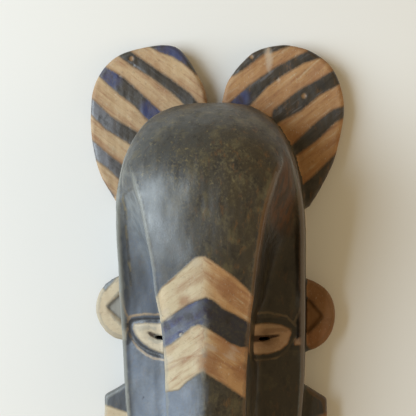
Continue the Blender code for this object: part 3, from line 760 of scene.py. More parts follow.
# Which way the brush went, degrees anticlockwise from the right
brushing = {"leftEar": -38, "rightEar": 38, "noseLeft": 35, "noseRight": -35}
# Painted edges of the side ears and lugs, in metres on the mask
sideMarks = {
    "left": {"topEdge": ((-0.094, 0.0190), (-0.1085, 0.0130), (-0.121, -0.002), (-0.160, 0.040)),
             "triangle": ((-0.090, 0.004), (-0.119, -0.020), (-0.090, -0.046)),
             "lug": ((-0.090, -0.050), (-0.140, -0.100), (-0.128, -0.1255), (-0.090, -0.1375))},
    "right": {"triangle": ((0.090, 0.002), (0.1165, -0.029), (0.090, -0.058)),
              "lug": ((0.090, -0.050), (0.140, -0.100), (0.128, -0.1285), (0.090, -0.1440))},
}


def discs(spots, marks):
    # pixels inside the nearest of several round patches
    return np.max([radius - np.hypot(*(spots - np.array(middle)).T) for middle, radius in marks], axis=0)


def sidePaint(flat, side, tan):
    # tan of the side ears and lugs, outside their dark marks; low on the lugs the marks are mirrored
    mirrored = flat * np.array([1, -1]) + np.array([0, 2 * borders["lugMiddle"]])
    for name, sign in (("left", -1), ("right", 1)):
        marks = sideMarks[name]
        dark = np.max([signedDistance(flat, corners) for corners in marks.values()], axis=0)
        dark = np.where(flat[:, 1] < borders["lugBelow"], signedDistance(mirrored, marks["lug"]), dark)
        tan = np.where(side & (flat[:, 0] * sign > 0), -dark / photo["metresPerPixel"], tan)
    return tan


def edgeWear(points, normals, edges):
    # millimetres that a vertex stands out of its surroundings
    smooth = relax(points, edges, np.full(len(points), 0.6), 6)
    stand = ((points - smooth) * normals).sum(1) * 1000
    for _ in range(2):
        stand = neighbourMean(stand, edges) * 0.5 + stand * 0.5
    return stand


def paintLayout(body):
    mesh = body.data
    points, normals, edges = readPoints(mesh), readNormals(mesh), readEdges(mesh)
    spots = onPhoto(points)
    offFace, _ = offWall(points)
    shape = points.copy()          # the points before the eye was cut in under the nose
    for _ in range(4):
        shape[:, 0] = points[:, 0] + undercut(shape)
    distance, _ = offFront(shape)
    x, y, z = shape.T
    outside = offFace > borders["outside"]
    onBoard = boardTop(points)
    inside = between(form["wall"] * 0.35, form["wall"] * 0.55, -distance) * (offFace < -form["wall"] * 0.3)
    bare = np.maximum(inside, 1 - between(*borders["bareBelow"], z))
    bare = np.maximum(bare, between(0.5, 0.9, -normals[:, 2]))
    tan = np.full(len(points), -20.0)
    blue = np.full(len(points), -20.0)

    leaf = -leafDark(points, spots)
    tan = np.where(onBoard, leaf, tan)
    blue = np.where(onBoard, discs(spots, photoColours["leafBlue"]) * 0.35, blue)

    drop = (at("arris", y) - z) * 1000                          # millimetres below the nose's edge
    onNose = (np.abs(x) < blockHalf(y) + borders["noseOver"]) & (drop < borders["noseDrop"])
    onNose &= ~outside & (distance > -borders["noseWithin"])
    first = signedDistance(spots, bandOutline(chevrons["firstTop"], chevrons["firstBottom"]))
    second = signedDistance(spots, bandOutline(chevrons["blueBottom"], chevrons["secondBottom"]))
    cobalt = signedDistance(spots, bandOutline(chevrons["firstBottom"], chevrons["blueBottom"]))
    wrap = np.where(np.abs(x) > blockHalf(y) - borders["wrapFrom"], borders["wrapDrop"] - drop, 20.0)
    tan = np.where(onNose, np.minimum(np.maximum(first, second), wrap), tan)
    blue = np.where(onNose, np.minimum(cobalt, wrap), blue)

    flank = (z - cheek(np.abs(x), y) > relief["flank"]) & (y < relief["flankFrom"])
    onCheek = (np.abs(x) >= blockHalf(y) - borders["cheekOver"]) & (distance > -borders["cheekWithin"])
    onCheek &= ~outside & ~onNose & ~flank
    lids = np.max([signedDistance(spots, eyeShapes[name]) for name in eyeShapes], axis=0)
    lines = np.min([lineDistance(spots, eyeLines[name]) for name in eyeLines], axis=0)
    tan = np.where(onCheek, np.maximum(lids, -20.0), tan)
    lineShare = np.where(onCheek, lines, 20.0)

    flat = points[:, :2]
    side = outside & (y < borders["sideBelow"])
    tan = sidePaint(flat, side, tan)
    mouthY = form["mouthAt"] * maskHeight
    halfX, halfY = borders["mouthHalf"]
    low, high = borders["mouthRise"]
    onMouth = (np.abs(x) < halfX) & (np.abs(y - mouthY) < halfY) & (distance > low)
    tan = np.where(onMouth, between(low, high, distance) * 6 - 2, tan)

    phase = np.full(len(points), 0.5)
    for name, sign in (("left", -1), ("right", 1)):
        board = onBoard & (x * sign > 0)
        phase[board] = bandPhase(spots[board], name)
    slit = np.max([signedDistance(spots, outline) for outline in slits.values()], axis=0)
    triangles = [signedDistance(flat, marks["triangle"]) for marks in sideMarks.values()]
    pockets = np.max(triangles, axis=0) / photo["metresPerPixel"]
    inPocket = np.where(side & (y > sideEar["middle"] - sideEar["half"]), pockets, -20.0)
    onArris = np.abs(np.abs(x) - blockHalf(y))
    toRim = (halfWidth(y) - np.abs(x)) * 1000
    onRim = np.where(~outside & (distance > -0.004) & (normals[:, 2] > -0.2), np.clip(toRim, 0, 20), 20.0)
    crease = np.where(onCheek, np.minimum(lineDistance(spots, creases["side"]),
                                          lineDistance(spots, creases["hook"])), 20.0)
    painted = onBoard | onNose
    chalky = discs(spots, photoColours["chalky"]) * 0.3
    chalkMarks = np.maximum(discs(spots, photoColours["chalkChips"]), chalky)
    streak = signedDistance(spots, photoColours["paleStreak"])
    faint = np.where(onNose, lineDistance(spots, chevrons["line"]), 20.0)
    angle = np.where(onBoard, np.where(x < 0, brushing["leftEar"], brushing["rightEar"]),
                     np.where(onNose, np.where(x < 0, brushing["noseLeft"], brushing["noseRight"]), 0.0))
    turn = np.radians(angle)
    layout = {
        "tanPaint": np.clip(tan, -20, 20),
        "bluePaint": np.clip(blue, -20, 20),
        "paintedLine": np.clip(lineShare, 0, 20),
        "bareWood": bare,
        "slitShade": np.where(onCheek, np.clip(slit, -20, 20), -20.0),
        "bandPhase": phase,
        "rimNear": onRim,
        "creaseNear": np.clip(crease, 0, 20),
        "orangeWear": np.where(onCheek & (x > 0), np.clip(signedDistance(spots, wornOrange), -20, 20), -20.0),
        "rawMark": np.where(painted, np.clip(discs(spots, photoColours["rawChips"]), -20, 20), -20.0),
        "chalkMark": np.where(painted, np.clip(chalkMarks, -20, 20), -20.0),
        "reddish": np.where(onNose, np.clip(discs(spots, photoColours["reddish"]), -20, 20), -20.0),
        "faintLine": np.clip(faint, 0, 20),
        "eyeRing": np.where(onCheek, np.clip(lids, -20, 20), -20.0),
        "paleStreak": np.where(onBoard, np.clip(streak, -20, 20), -20.0),
        "photoX": spots[:, 0],
        "photoY": spots[:, 1],
        "onBoard": onBoard.astype(float),
        "inPocket": np.clip(inPocket, -20, 20),
        "offHead": np.where(onBoard, np.clip(offFace * 1000, 0, 80), 80.0),
        "arrisNear": np.where(onCheek | onNose, np.clip(onArris * 1000, 0, 20), 20.0),
        "strokeAlong": x * np.cos(turn) + y * np.sin(turn),
        "strokeAcross": y * np.cos(turn) - x * np.sin(turn),
    }
    for name, values in layout.items():
        addAttribute(mesh, name, values)
    addAttribute(mesh, "standsOut", edgeWear(points, normals, edges))
    stage("laid out the paint")


# Node helpers for the finishes
def add(tree, kind, **settings):
    made = tree.nodes.new(kind)
    for name, value in settings.items():
        setattr(made, name, value)
    return made


def feed(tree, socket, value):
    if isinstance(value, bpy.types.NodeSocket):
        tree.links.new(value, socket)
    else:
        socket.default_value = value


def calc(tree, operation, first, second=0.0, third=0.0):
    made = add(tree, "ShaderNodeMath", operation=operation)
    for socket, value in zip(made.inputs, (first, second, third)):
        feed(tree, socket, value)
    return made.outputs[0]


def fade(tree, value, low, high, start=0.0, end=1.0):
    made = add(tree, "ShaderNodeMapRange", interpolation_type="SMOOTHSTEP")
    names = ("Value", "From Min", "From Max", "To Min", "To Max")
    for name, given in zip(names, (value, low, high, start, end)):
        feed(tree, made.inputs[name], given)
    return made.outputs[0]


def blend(tree, share, first, second):
    made = add(tree, "ShaderNodeMix", data_type="RGBA")
    feed(tree, made.inputs[0], share)
    feed(tree, made.inputs[6], first)
    feed(tree, made.inputs[7], second)
    return made.outputs[2]


def grain(tree, scale, detail=4.0, rough=0.6, stretch=(1.0, 1.0, 1.0), shift=(0.0, 0.0, 0.0)):
    place = add(tree, "ShaderNodeMapping")
    place.inputs["Scale"].default_value = stretch
    place.inputs["Location"].default_value = shift
    tree.links.new(tree.nodes["coordinates"].outputs["Object"], place.inputs["Vector"])
    made = add(tree, "ShaderNodeTexNoise", noise_dimensions="3D")
    made.inputs["Scale"].default_value = scale
    made.inputs["Detail"].default_value = detail
    made.inputs["Roughness"].default_value = rough
    tree.links.new(place.outputs[0], made.inputs["Vector"])
    return made.outputs["Fac"]


def stored(tree, name):
    return add(tree, "ShaderNodeAttribute", attribute_name=name).outputs["Fac"]


def colour(red, green, blue):
    # a colour given as the eye sees it, 0 to 255, made linear for the shader
    linear = []
    for value in (red, green, blue):
        value /= 255
        linear.append(value / 12.92 if value <= 0.04045 else ((value + 0.055) / 1.055) ** 2.4)
    return (*linear, 1.0)


paint = {
    # the charcoal painted lighter and cooler for the lit left, warmer and darker for the shaded right
    "darkLitCool": colour(56, 57, 55),
    "darkShadeWarm": colour(50, 43, 32),
    "darkDeep": colour(23, 20, 17),
    "leafDark": colour(50, 44, 37),
    "leafGrey": colour(112, 114, 122),
    # painted sheen colours for the lit left side, partly the paint's own blue-grey
    "sheenBlueWash": colour(90, 101, 118),
    "sheenGrey": colour(124, 130, 134),
    "sheenPaleBlue": colour(110, 124, 146),
    "olive": colour(92, 84, 60),
    "speck": colour(116, 106, 76),
    "dots": colour(158, 142, 98),
    # wear tones: lit grey for the left, a painted blue highlight, and brown that also paints the right side's
    # shade
    "wornLitGrey": colour(126, 127, 120),
    "highlightBlue": colour(108, 112, 114),
    "wornShadeBrown": colour(96, 68, 40),
    "rawOrange": colour(82, 51, 23),
    "rawWood": colour(150, 116, 80),
    "tan": colour(177, 151, 116),
    "tanOrange": colour(162, 124, 82),
    "tanRed": colour(130, 87, 53),
    "cream": colour(180, 166, 138),
    "creamLight": colour(200, 184, 156),
    # painted shade for the right side ear
    "earShadeBrown": colour(112, 75, 42),
    "chalk": colour(186, 180, 168),
    "cobalt": colour(46, 56, 98),
    "purple": colour(52, 47, 78),
    "blueGrey": colour(82, 88, 100),
    # the side ears' pockets: painted lit grey on the left, painted shaded brown on the right
    "pocketLitGrey": colour(142, 139, 131),
    "pocketShadeBrown": colour(116, 80, 44),
    "slit": colour(44, 25, 17),
    "woodLight": colour(176, 134, 92),
    "woodDark": colour(112, 76, 46),
    "dirt": colour(56, 42, 29),
}
finish = {
    "edgeRagged": 3.0,             # how far noise moves a paint edge, in the photo's pixels
    "darkRough": (0.34, 0.50), "clayRough": 0.30, "bareRough": 0.25,
    "wornRough": 0.3,              # added in the slits, the raw wood and the side ears' pockets
    "specular": 0.6,
    "bump": 0.45, "bumpHeight": 0.0006,
    "bumpStreaks": 0.25, "bumpFine": 0.35, "bumpRagged": 0.5, "bumpStrokes": 0.9,
}


def times(tree, *values):
    result = values[0]
    for value in values[1:]:
        result = calc(tree, "MULTIPLY", result, value)
    return result


def shaken(tree, value, noise, spread):
    # a value moved up and down by noise, half of spread each way
    return calc(tree, "ADD", value, calc(tree, "MULTIPLY_ADD", noise, spread, -spread / 2))


def brushed(tree, scale, stretch, shift):
    # noise drawn out along the brush's strokes
    place = add(tree, "ShaderNodeCombineXYZ")
    feed(tree, place.inputs[0], calc(tree, "MULTIPLY", stored(tree, "strokeAlong"), stretch))
    feed(tree, place.inputs[1], stored(tree, "strokeAcross"))
    place.inputs[2].default_value = shift
    made = add(tree, "ShaderNodeTexNoise", noise_dimensions="3D")
    made.inputs["Scale"].default_value = scale
    made.inputs["Detail"].default_value = 4.0
    made.inputs["Roughness"].default_value = 0.62
    tree.links.new(place.outputs[0], made.inputs["Vector"])
    return made.outputs["Fac"]


# Where each shade of the paint begins and is full, in the photo's pixels
spansX = {
    "litToShade": (165, 262), "greyLeaf": (128, 98), "sheenWash": (212, 150), "channel": (156, 140),
    "belowRight": (214, 186), "belowLeft": (158, 166), "dome": (262, 200), "sheenRight": (204, 168),
    "sheenLeft": (140, 152), "stain": (180, 240), "orangeClay": (198, 226), "cream": (214, 196),
    "leftHalf": (190, 230), "palest": (170, 160), "byHead": (200, 240), "sideEar": (299, 303),
    "upperArm": (208, 226), "blueShadeRight": (188, 214), "wornShadeBrown": (205, 262), "rightArris": (240, 262),
    "rightRim": (200, 260), "pocket": (200, 210), "eyeLines": (205, 260), "rawWood": (298, 284),
    "shadowRight": (252, 262),
}
spansY = {
    "sheenWash": (165, 260), "channelLow": (300, 215), "channelTop": (184, 200), "below": (368, 396),
    "dome": (270, 150), "sheenTop": (165, 200), "sheenLow": (272, 250), "chevrons": (240, 262),
    "palest": (262, 280), "sideEar": (255, 268), "upperArmTop": (322, 334), "upperArmLow": (364, 344),
    "arrisLow": (285, 235), "arrisTop": (150, 164), "arrisBlue": (215, 160), "rim": (128, 160),
    "shadowRight": (215, 245),
}


def darkCoat(tree, sideways, photoX, photoY, fields):
    # charcoal paint, worn low on the left and speckled over the dome; its bluish left and brown right are
    # painted light and shade
    cloud, mottle, streaks = fields["cloud"], fields["mottle"], fields["streaks"]
    onBoard = stored(tree, "onBoard")
    offBoard = calc(tree, "SUBTRACT", 1.0, onBoard)
    # painted light and shade: the charcoal lighter and cooler on the lit left, warmer and darker on the
    # shaded right
    dark = blend(tree, fade(tree, sideways, *spansX["litToShade"]), paint["darkLitCool"], paint["darkShadeWarm"])
    grey = times(tree, onBoard, fade(tree, shaken(tree, photoX, mottle, 30), *spansX["greyLeaf"], 0.0, 0.75))
    dark = blend(tree, onBoard, dark, blend(tree, grey, paint["leafDark"], paint["leafGrey"]))
    strokes = brushed(tree, 170, 0.14, 0.2)
    deep = times(tree, onBoard, fade(tree, strokes, 0.50, 0.68, 0.0, 0.7))
    dark = blend(tree, deep, dark, paint["darkDeep"])
    pale = times(tree, onBoard, fade(tree, strokes, 0.46, 0.32, 0.0, 0.4))
    dark = blend(tree, pale, dark, paint["leafGrey"])
    dark = blend(tree, fade(tree, mottle, 0.50, 0.68, 0.0, 0.70), dark, paint["darkDeep"])
    green = times(tree, offBoard, fade(tree, fields["patches"], 0.50, 0.66, 0.0, 0.5))
    dark = blend(tree, green, dark, paint["olive"])
    green = times(tree, offBoard, fade(tree, streaks, 0.58, 0.78, 0.0, 0.35))
    dark = blend(tree, green, dark, paint["olive"])
    deep = times(tree, offBoard, fade(tree, streaks, 0.44, 0.30, 0.0, 0.4))
    dark = blend(tree, deep, dark, paint["darkDeep"])

    # painted sheen: a blue-grey wash on the lit left, paler in the left channel and below the second chevron,
    # partly the paint's own blue
    low = fade(tree, photoY, *spansY["sheenWash"], 0.15, 1.0)
    clouded = fade(tree, cloud, 0.36, 0.60, 0.35, 0.85)
    sheenWash = times(tree, fade(tree, sideways, *spansX["sheenWash"]), low, clouded, offBoard)
    dark = blend(tree, sheenWash, dark, paint["sheenBlueWash"])
    channel = times(tree, fade(tree, photoX, *spansX["channel"]), fade(tree, photoY, *spansY["channelLow"]),
                    fade(tree, photoY, *spansY["channelTop"]), offBoard)
    channel = times(tree, channel, fade(tree, mottle, 0.30, 0.62, 0.85, 0.35))
    dark = blend(tree, channel, dark, paint["sheenGrey"])
    below = times(tree, fade(tree, shaken(tree, photoX, streaks, 46), *spansX["belowRight"]),
                  fade(tree, photoY, *spansY["below"], 0.0, 0.5), fade(tree, photoX, *spansX["belowLeft"]))
    dark = blend(tree, below, dark, paint["sheenPaleBlue"])

    # worn specks and flecks over the dome, a painted pale sheen left of it, brown stains that gather to the
    # right and also paint its shade
    worn = fade(tree, grain(tree, 420, 3, 0.6, (1.0, 0.8, 1.0)), 0.44, 0.74)
    place = fade(tree, shaken(tree, cloud, mottle, 0.4), 0.40, 0.62, 0.15, 0.85)
    high = fade(tree, photoY, *spansY["dome"], 0.35, 1.0)
    dome = times(tree, high, fade(tree, photoX, *spansX["dome"], 0.45, 1.0))
    dark = blend(tree, times(tree, worn, place, dome, offBoard, 0.6), dark, paint["speck"])
    fleck = fade(tree, grain(tree, 240, 3, 0.7, (1.0, 0.7, 1.0), (0.7, 0.2, 0.0)), 0.60, 0.68)
    dark = blend(tree, times(tree, fleck, dome, offBoard, 0.55), dark, paint["speck"])
    sheen = times(tree, fade(tree, shaken(tree, photoX, mottle, 30), *spansX["sheenRight"]),
                  fade(tree, photoY, *spansY["sheenTop"]), fade(tree, photoY, *spansY["sheenLow"]),
                  fade(tree, photoX, *spansX["sheenLeft"]), 0.42)
    dark = blend(tree, sheen, dark, paint["sheenGrey"])
    stain = fade(tree, grain(tree, 210, 4, 0.7, (1.0, 0.35, 1.0), (0.3, 0.1, 0.0)), 0.54, 0.70, 0.0, 0.6)
    stained = times(tree, stain, fade(tree, sideways, *spansX["stain"], 0.25, 1.0))
    return blend(tree, stained, dark, paint["wornShadeBrown"])


def clayCoat(tree, photoX, photoY, tan, fields):
    # chalky tan clay, brushed on: redder low in each band and near the head; cream left of the nose's crest
    # is painted light and the browner right is partly painted shade
    mottle = fields["mottle"]
    onBoard = stored(tree, "onBoard")
    offBoard = calc(tree, "SUBTRACT", 1.0, onBoard)
    # browner to the right: the right ear's own tone and, on the nose's right planes, painted shade
    toRight = fade(tree, shaken(tree, photoX, mottle, 40), *spansX["orangeClay"])
    clay = blend(tree, toRight, paint["tan"], paint["tanOrange"])
    onNose = times(tree, offBoard, fade(tree, photoY, *spansY["chevrons"]))
    # cream on the nose left of the crest: painted light on the lit planes
    clay = blend(tree, times(tree, onNose, fade(tree, photoX, *spansX["cream"])), clay, paint["cream"])
    strokes = brushed(tree, 210, 0.12, 0.0)
    wide = brushed(tree, 70, 0.22, 0.4)
    red = times(tree, fade(tree, wide, 0.44, 0.64), fade(tree, photoX, *spansX["leftHalf"], 0.45, 0.6))
    clay = blend(tree, red, clay, paint["tanRed"])
    clay = blend(tree, fade(tree, strokes, 0.50, 0.72, 0.0, 0.65), clay, paint["tanRed"])
    clay = blend(tree, fade(tree, strokes, 0.46, 0.28, 0.0, 0.5), clay, paint["cream"])
    low = shaken(tree, times(tree, onBoard, stored(tree, "bandPhase")), mottle, 0.8)
    clay = blend(tree, fade(tree, low, 0.50, 0.98, 0.0, 0.45), clay, paint["tanRed"])
    palest = times(tree, fade(tree, photoX, *spansX["palest"]), fade(tree, photoY, *spansY["palest"]),
                   offBoard, 0.7)
    clay = blend(tree, palest, clay, paint["creamLight"])
    byHead = fade(tree, stored(tree, "offHead"), 22, 2, 0.0, 0.26)
    byHead = times(tree, byHead, fade(tree, photoX, *spansX["byHead"], 0.35, 1.0))
    clay = blend(tree, byHead, clay, paint["tanRed"])
    reddish = fade(tree, shaken(tree, stored(tree, "reddish"), wide, 16.0), -3.0, 6.0, 0.0, 0.65)
    clay = blend(tree, reddish, clay, paint["tanRed"])
    clay = blend(tree, fade(tree, stored(tree, "faintLine"), 1.8, 0.4, 0.0, 0.35), clay, paint["tanRed"])
    # painted shade on the right side ear
    sideEarShade = fade(tree, photoY, *spansY["sideEar"], 0.0, 0.85)
    sideEarShade = times(tree, fade(tree, photoX, *spansX["sideEar"]), sideEarShade)
    clay = blend(tree, sideEarShade, clay, paint["earShadeBrown"])
    dirt = fade(tree, shaken(tree, tan, mottle, 2.4), 2.6, 0.2, 0.0, 0.55)
    clay = blend(tree, dirt, clay, paint["dirt"])
    clay = blend(tree, fade(tree, fields["ragged"], 0.54, 0.74, 0.0, 0.28), clay, paint["dirt"])
    arm = times(tree, fade(tree, shaken(tree, photoX, wide, 30), *spansX["upperArm"]),
                fade(tree, photoY, *spansY["upperArmTop"]),
                fade(tree, shaken(tree, photoY, wide, 20), *spansY["upperArmLow"]), 0.65)
    clay = blend(tree, arm, clay, paint["tanRed"])
    chalk = fade(tree, shaken(tree, stored(tree, "chalkMark"), strokes, 9.0), -0.6, 2.6, 0.0, 0.34)
    clay = blend(tree, chalk, clay, paint["chalk"])
    return blend(tree, fade(tree, fields["fine"], 0.60, 0.75, 0.0, 0.35), clay, paint["chalk"]), strokes


def blueCoat(tree, photoX, photoY, fields):
    # cobalt worn to grey; on the nose it is painted near black right of the crest, as painted shade on the
    # shaded plane
    mottle = fields["mottle"]
    pigment = blend(tree, fade(tree, mottle, 0.42, 0.62), paint["cobalt"], paint["purple"])
    chevron = fade(tree, photoY, *spansY["chevrons"])
    strokes = brushed(tree, 150, 0.15, 0.8)
    greyed = times(tree, chevron, fade(tree, strokes, 0.42, 0.60, 0.05, 0.8))
    pigment = blend(tree, greyed, pigment, paint["blueGrey"])
    blueShadeRight = fade(tree, shaken(tree, photoX, mottle, 30), *spansX["blueShadeRight"], 0.0, 0.85)
    pigment = blend(tree, times(tree, chevron, blueShadeRight), pigment, paint["darkDeep"])
    chalk = fade(tree, shaken(tree, stored(tree, "chalkMark"), strokes, 2.0), 0.2, 1.8, 0.0, 0.8)
    pigment = blend(tree, chalk, pigment, paint["chalk"])
    return blend(tree, fade(tree, mottle, 0.54, 0.7, 0.0, 0.6), pigment, paint["darkDeep"])


# Growth rings of the bare wood; length is how much they are drawn out along the mask
rings = {"scale": 27.0, "distortion": 11.0, "detail": 3.0, "length": 0.08}


def bareCoat(tree, fields):
    # unpainted wood of the hollow and the back
    bands = add(tree, "ShaderNodeTexWave", wave_type="BANDS", bands_direction="X")
    bands.inputs["Scale"].default_value = rings["scale"]
    bands.inputs["Distortion"].default_value = rings["distortion"]
    bands.inputs["Detail"].default_value = rings["detail"]
    place = add(tree, "ShaderNodeMapping")
    place.inputs["Scale"].default_value = (1.0, rings["length"], 1.0)
    tree.links.new(tree.nodes["coordinates"].outputs["Object"], place.inputs["Vector"])
    tree.links.new(place.outputs[0], bands.inputs["Vector"])
    mixed = blend(tree, fade(tree, fields["streaks"], 0.36, 0.64), paint["woodDark"], paint["woodLight"])
    wood = blend(tree, fade(tree, bands.outputs["Fac"], 0.1, 0.9, 0.0, 0.3), mixed, paint["woodLight"])
    return blend(tree, fade(tree, fields["mottle"], 0.45, 0.7, 0.0, 0.5), wood, paint["dirt"])


def wearDown(tree, coat, sideways, photoX, photoY, tan, fields):
    # worn welts, rims and edges, painted lit grey on the left and shaded brown on the right, with painted
    # blue highlights on the right's arris and rim
    ragged = fields["ragged"]
    tone = blend(tree, fade(tree, sideways, *spansX["wornShadeBrown"]), paint["wornLitGrey"], paint["wornShadeBrown"])
    arris = fade(tree, shaken(tree, stored(tree, "arrisNear"), ragged, 1.2), 3.2, 1.4)
    place = times(tree, fade(tree, photoY, *spansY["arrisLow"], 0.15, 0.60),
                  fade(tree, photoY, *spansY["arrisTop"]), fade(tree, photoX, *spansX["leftHalf"], 0.35, 1.0))
    upper = times(tree, fade(tree, photoX, *spansX["rightArris"]), fade(tree, photoY, *spansY["arrisBlue"]))
    arrisTone = blend(tree, upper, tone, paint["highlightBlue"])
    coat = blend(tree, times(tree, arris, place, fade(tree, tan, 0.5, -0.5)), coat, arrisTone)
    rim = fade(tree, shaken(tree, stored(tree, "rimNear"), ragged, 2.0), 5.6, 3.2, 0.0, 0.7)
    rimTone = blend(tree, fade(tree, photoX, *spansX["rightRim"], 0.35, 1.0), tone, paint["highlightBlue"])
    coat = blend(tree, times(tree, rim, fade(tree, photoY, *spansY["rim"])), coat, rimTone)
    edge = times(tree, fade(tree, shaken(tree, stored(tree, "standsOut"), ragged, 0.3), 0.14, 0.36, 0.0, 0.4),
                 calc(tree, "MULTIPLY_ADD", stored(tree, "onBoard"), -0.8, 1.0))
    return blend(tree, edge, coat, tone)


def paintedWood():
    material = bpy.data.materials.new("paintedWood")
    material.use_nodes = True
    tree = material.node_tree
    tree.nodes.clear()
    out = add(tree, "ShaderNodeOutputMaterial")
    shader = add(tree, "ShaderNodeBsdfPrincipled")
    tree.links.new(shader.outputs[0], out.inputs[0])
    add(tree, "ShaderNodeTexCoord", name="coordinates")
    photoX, photoY = stored(tree, "photoX"), stored(tree, "photoY")
    tan, blue, line = stored(tree, "tanPaint"), stored(tree, "bluePaint"), stored(tree, "paintedLine")
    fields = {
        "streaks": grain(tree, 170, 5, 0.62, (1.0, 0.14, 1.0)),
        "cloud": grain(tree, 26, 3, 0.55, (1.0, 0.5, 1.0)),
        "patches": grain(tree, 60, 5, 0.66, (1.0, 0.7, 1.0), (0.2, 0.5, 0.1)),
        "mottle": grain(tree, 95, 4, 0.6, (1.0, 0.6, 1.0)),
        "fine": grain(tree, 620, 3, 0.6, (1.0, 0.45, 1.0)),
        "ragged": grain(tree, 330, 4, 0.65),
    }
    ragged, streaks = fields["ragged"], fields["streaks"]
    sideways = shaken(tree, photoX, fields["cloud"], 60.0)
    onEdge = finish["edgeRagged"]

    clay, strokes = clayCoat(tree, photoX, photoY, tan, fields)
    tanShare = fade(tree, shaken(tree, tan, ragged, onEdge), -0.9, 0.9)
    blueShare = times(tree, fade(tree, shaken(tree, blue, ragged, onEdge), -1.4, 1.8),
                      fade(tree, ragged, 0.64, 0.5, 0.55, 0.92))
    coat = darkCoat(tree, sideways, photoX, photoY, fields)
    coat = blend(tree, blueShare, coat, blueCoat(tree, photoX, photoY, fields))
    coat = blend(tree, tanShare, coat, clay)

    # thin painted lines, fainter round the right eye, and painted shade in the slits
    lineShare = fade(tree, shaken(tree, line, ragged, 1.2), 1.9, 0.5)
    lineShare = times(tree, lineShare, fade(tree, photoX, *spansX["eyeLines"], 0.60, 0.35))
    coat = blend(tree, lineShare, coat, paint["tan"])
    ring = stored(tree, "eyeRing")
    ringShare = times(tree, fade(tree, ring, -6.0, -4.5), fade(tree, ring, -0.4, -1.4, 0.0, 0.6))
    coat = blend(tree, ringShare, coat, paint["darkDeep"])
    coat = blend(tree, fade(tree, ring, -0.2, 1.6, 0.0, 0.22), coat, paint["chalk"])
    slit = fade(tree, shaken(tree, stored(tree, "slitShade"), ragged, 0.8), -1.1, 0.9, 0.0, 0.92)
    coat = blend(tree, slit, coat, paint["slit"])

    # raw wood in the chips, chalk down the right ear, orange-brown wood in the right channel
    marks = fade(tree, shaken(tree, stored(tree, "rawMark"), ragged, 2.4), -0.6, 1.6, 0.0, 0.7)
    coat = blend(tree, marks, coat, paint["rawWood"])
    pale = fade(tree, shaken(tree, stored(tree, "paleStreak"), fields["mottle"], 9.0), -1.0, 4.0, 0.0, 0.38)
    coat = blend(tree, pale, coat, paint["chalk"])
    orange = fade(tree, shaken(tree, stored(tree, "orangeWear"), streaks, 22.0), -3.0, 7.0, 0.0, 0.9)
    rawShare = times(tree, orange, fade(tree, photoX, *spansX["rawWood"], 0.7, 1.0))
    rawTone = blend(tree, fade(tree, streaks, 0.42, 0.6), paint["rawOrange"], paint["dirt"])
    coat = blend(tree, rawShare, coat, rawTone)
    # painted shadow deep in the right channel beside the nose
    deep = times(tree, fade(tree, photoX, *spansX["shadowRight"]), fade(tree, photoY, *spansY["shadowRight"]),
                 fade(tree, tan, 0.0, -2.0, 0.0, 0.55))
    coat = blend(tree, deep, coat, paint["darkDeep"])
    # the side ears' pockets: painted lit grey on the left, painted shaded brown on the right
    pocket = blend(tree, fade(tree, photoX, *spansX["pocket"]), paint["pocketLitGrey"], paint["pocketShadeBrown"])
    pocketShare = fade(tree, shaken(tree, stored(tree, "inPocket"), ragged, 1.6), -1.6, 0.2)
    coat = blend(tree, pocketShare, coat, pocket)

    coat = wearDown(tree, coat, sideways, photoX, photoY, tan, fields)
    # painted shade along the crease lines; the tan dots below are gathered paint
    crease = fade(tree, shaken(tree, stored(tree, "creaseNear"), ragged, 1.6), 2.2, 0.5, 0.0, 0.5)
    coat = blend(tree, crease, coat, paint["darkDeep"])
    dots = times(tree, fade(tree, shaken(tree, stored(tree, "creaseNear"), ragged, 2.0), 2.4, 0.6),
                 fade(tree, fields["mottle"], 0.50, 0.64, 0.0, 0.35))
    coat = blend(tree, dots, coat, paint["dots"])
    bareShare = stored(tree, "bareWood")
    bare = fade(tree, shaken(tree, bareShare, ragged, 0.5), 0.35, 0.65)
    coat = blend(tree, bare, coat, bareCoat(tree, fields))
    tree.links.new(coat, shader.inputs["Base Color"])

    rough = fade(tree, fields["mottle"], 0.3, 0.75, *finish["darkRough"])
    rough = calc(tree, "ADD", rough, calc(tree, "MULTIPLY", tanShare, finish["clayRough"]))
    rough = calc(tree, "ADD", rough, calc(tree, "MULTIPLY", bareShare, finish["bareRough"]))
    rough = calc(tree, "ADD", rough, times(tree, calc(tree, "MAXIMUM", slit, orange), finish["wornRough"]))
    rough = calc(tree, "ADD", rough, times(tree, pocketShare, finish["wornRough"]))
    tree.links.new(rough, shader.inputs["Roughness"])
    shader.inputs["Specular IOR Level"].default_value = finish["specular"]
    height = times(tree, fields["fine"], finish["bumpFine"])
    height = calc(tree, "MULTIPLY_ADD", streaks, finish["bumpStreaks"], height)
    height = calc(tree, "MULTIPLY_ADD", ragged, finish["bumpRagged"], height)
    height = calc(tree, "MULTIPLY_ADD", times(tree, tanShare, strokes), finish["bumpStrokes"], height)
    bump = add(tree, "ShaderNodeBump")
    bump.inputs["Strength"].default_value = finish["bump"]
    bump.inputs["Distance"].default_value = finish["bumpHeight"]
    tree.links.new(height, bump.inputs["Height"])
    tree.links.new(bump.outputs[0], shader.inputs["Normal"])
    return material


def finishMask(body):
    body.data.materials.clear()
    body.data.materials.append(paintedWood())
    body.data.shade_smooth()
    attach(body, "root")
    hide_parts("carved_mask")


# Plain pale floor, soft lights and the photo's camera
studio = {
    "aim": (0.0, 0.05, 0.06),                     # what both lights point at
    "floorSize": 30.0, "floorRough": 0.85,
    "floorColour": (0.715, 0.715, 0.705, 1.0),
    "worldColour": (1.0, 0.76, 0.43, 1.0),
    "worldStrength": 0.40,
    "backdrop": (0.80, 0.79, 0.77, 1.0),          # what the camera sees beyond the floor
    "window": {"place": (-1.95, 0.30, 1.60), "size": (2.0, 2.3), "power": 101.0, "colour": (0.78, 0.905, 1.0),
               "shines": True},
    "bounce": {"place": (1.3, -0.1, 0.75), "size": (0.9, 0.9), "power": 4.5, "colour": (1.0, 0.80, 0.52),
               "shines": False},
}


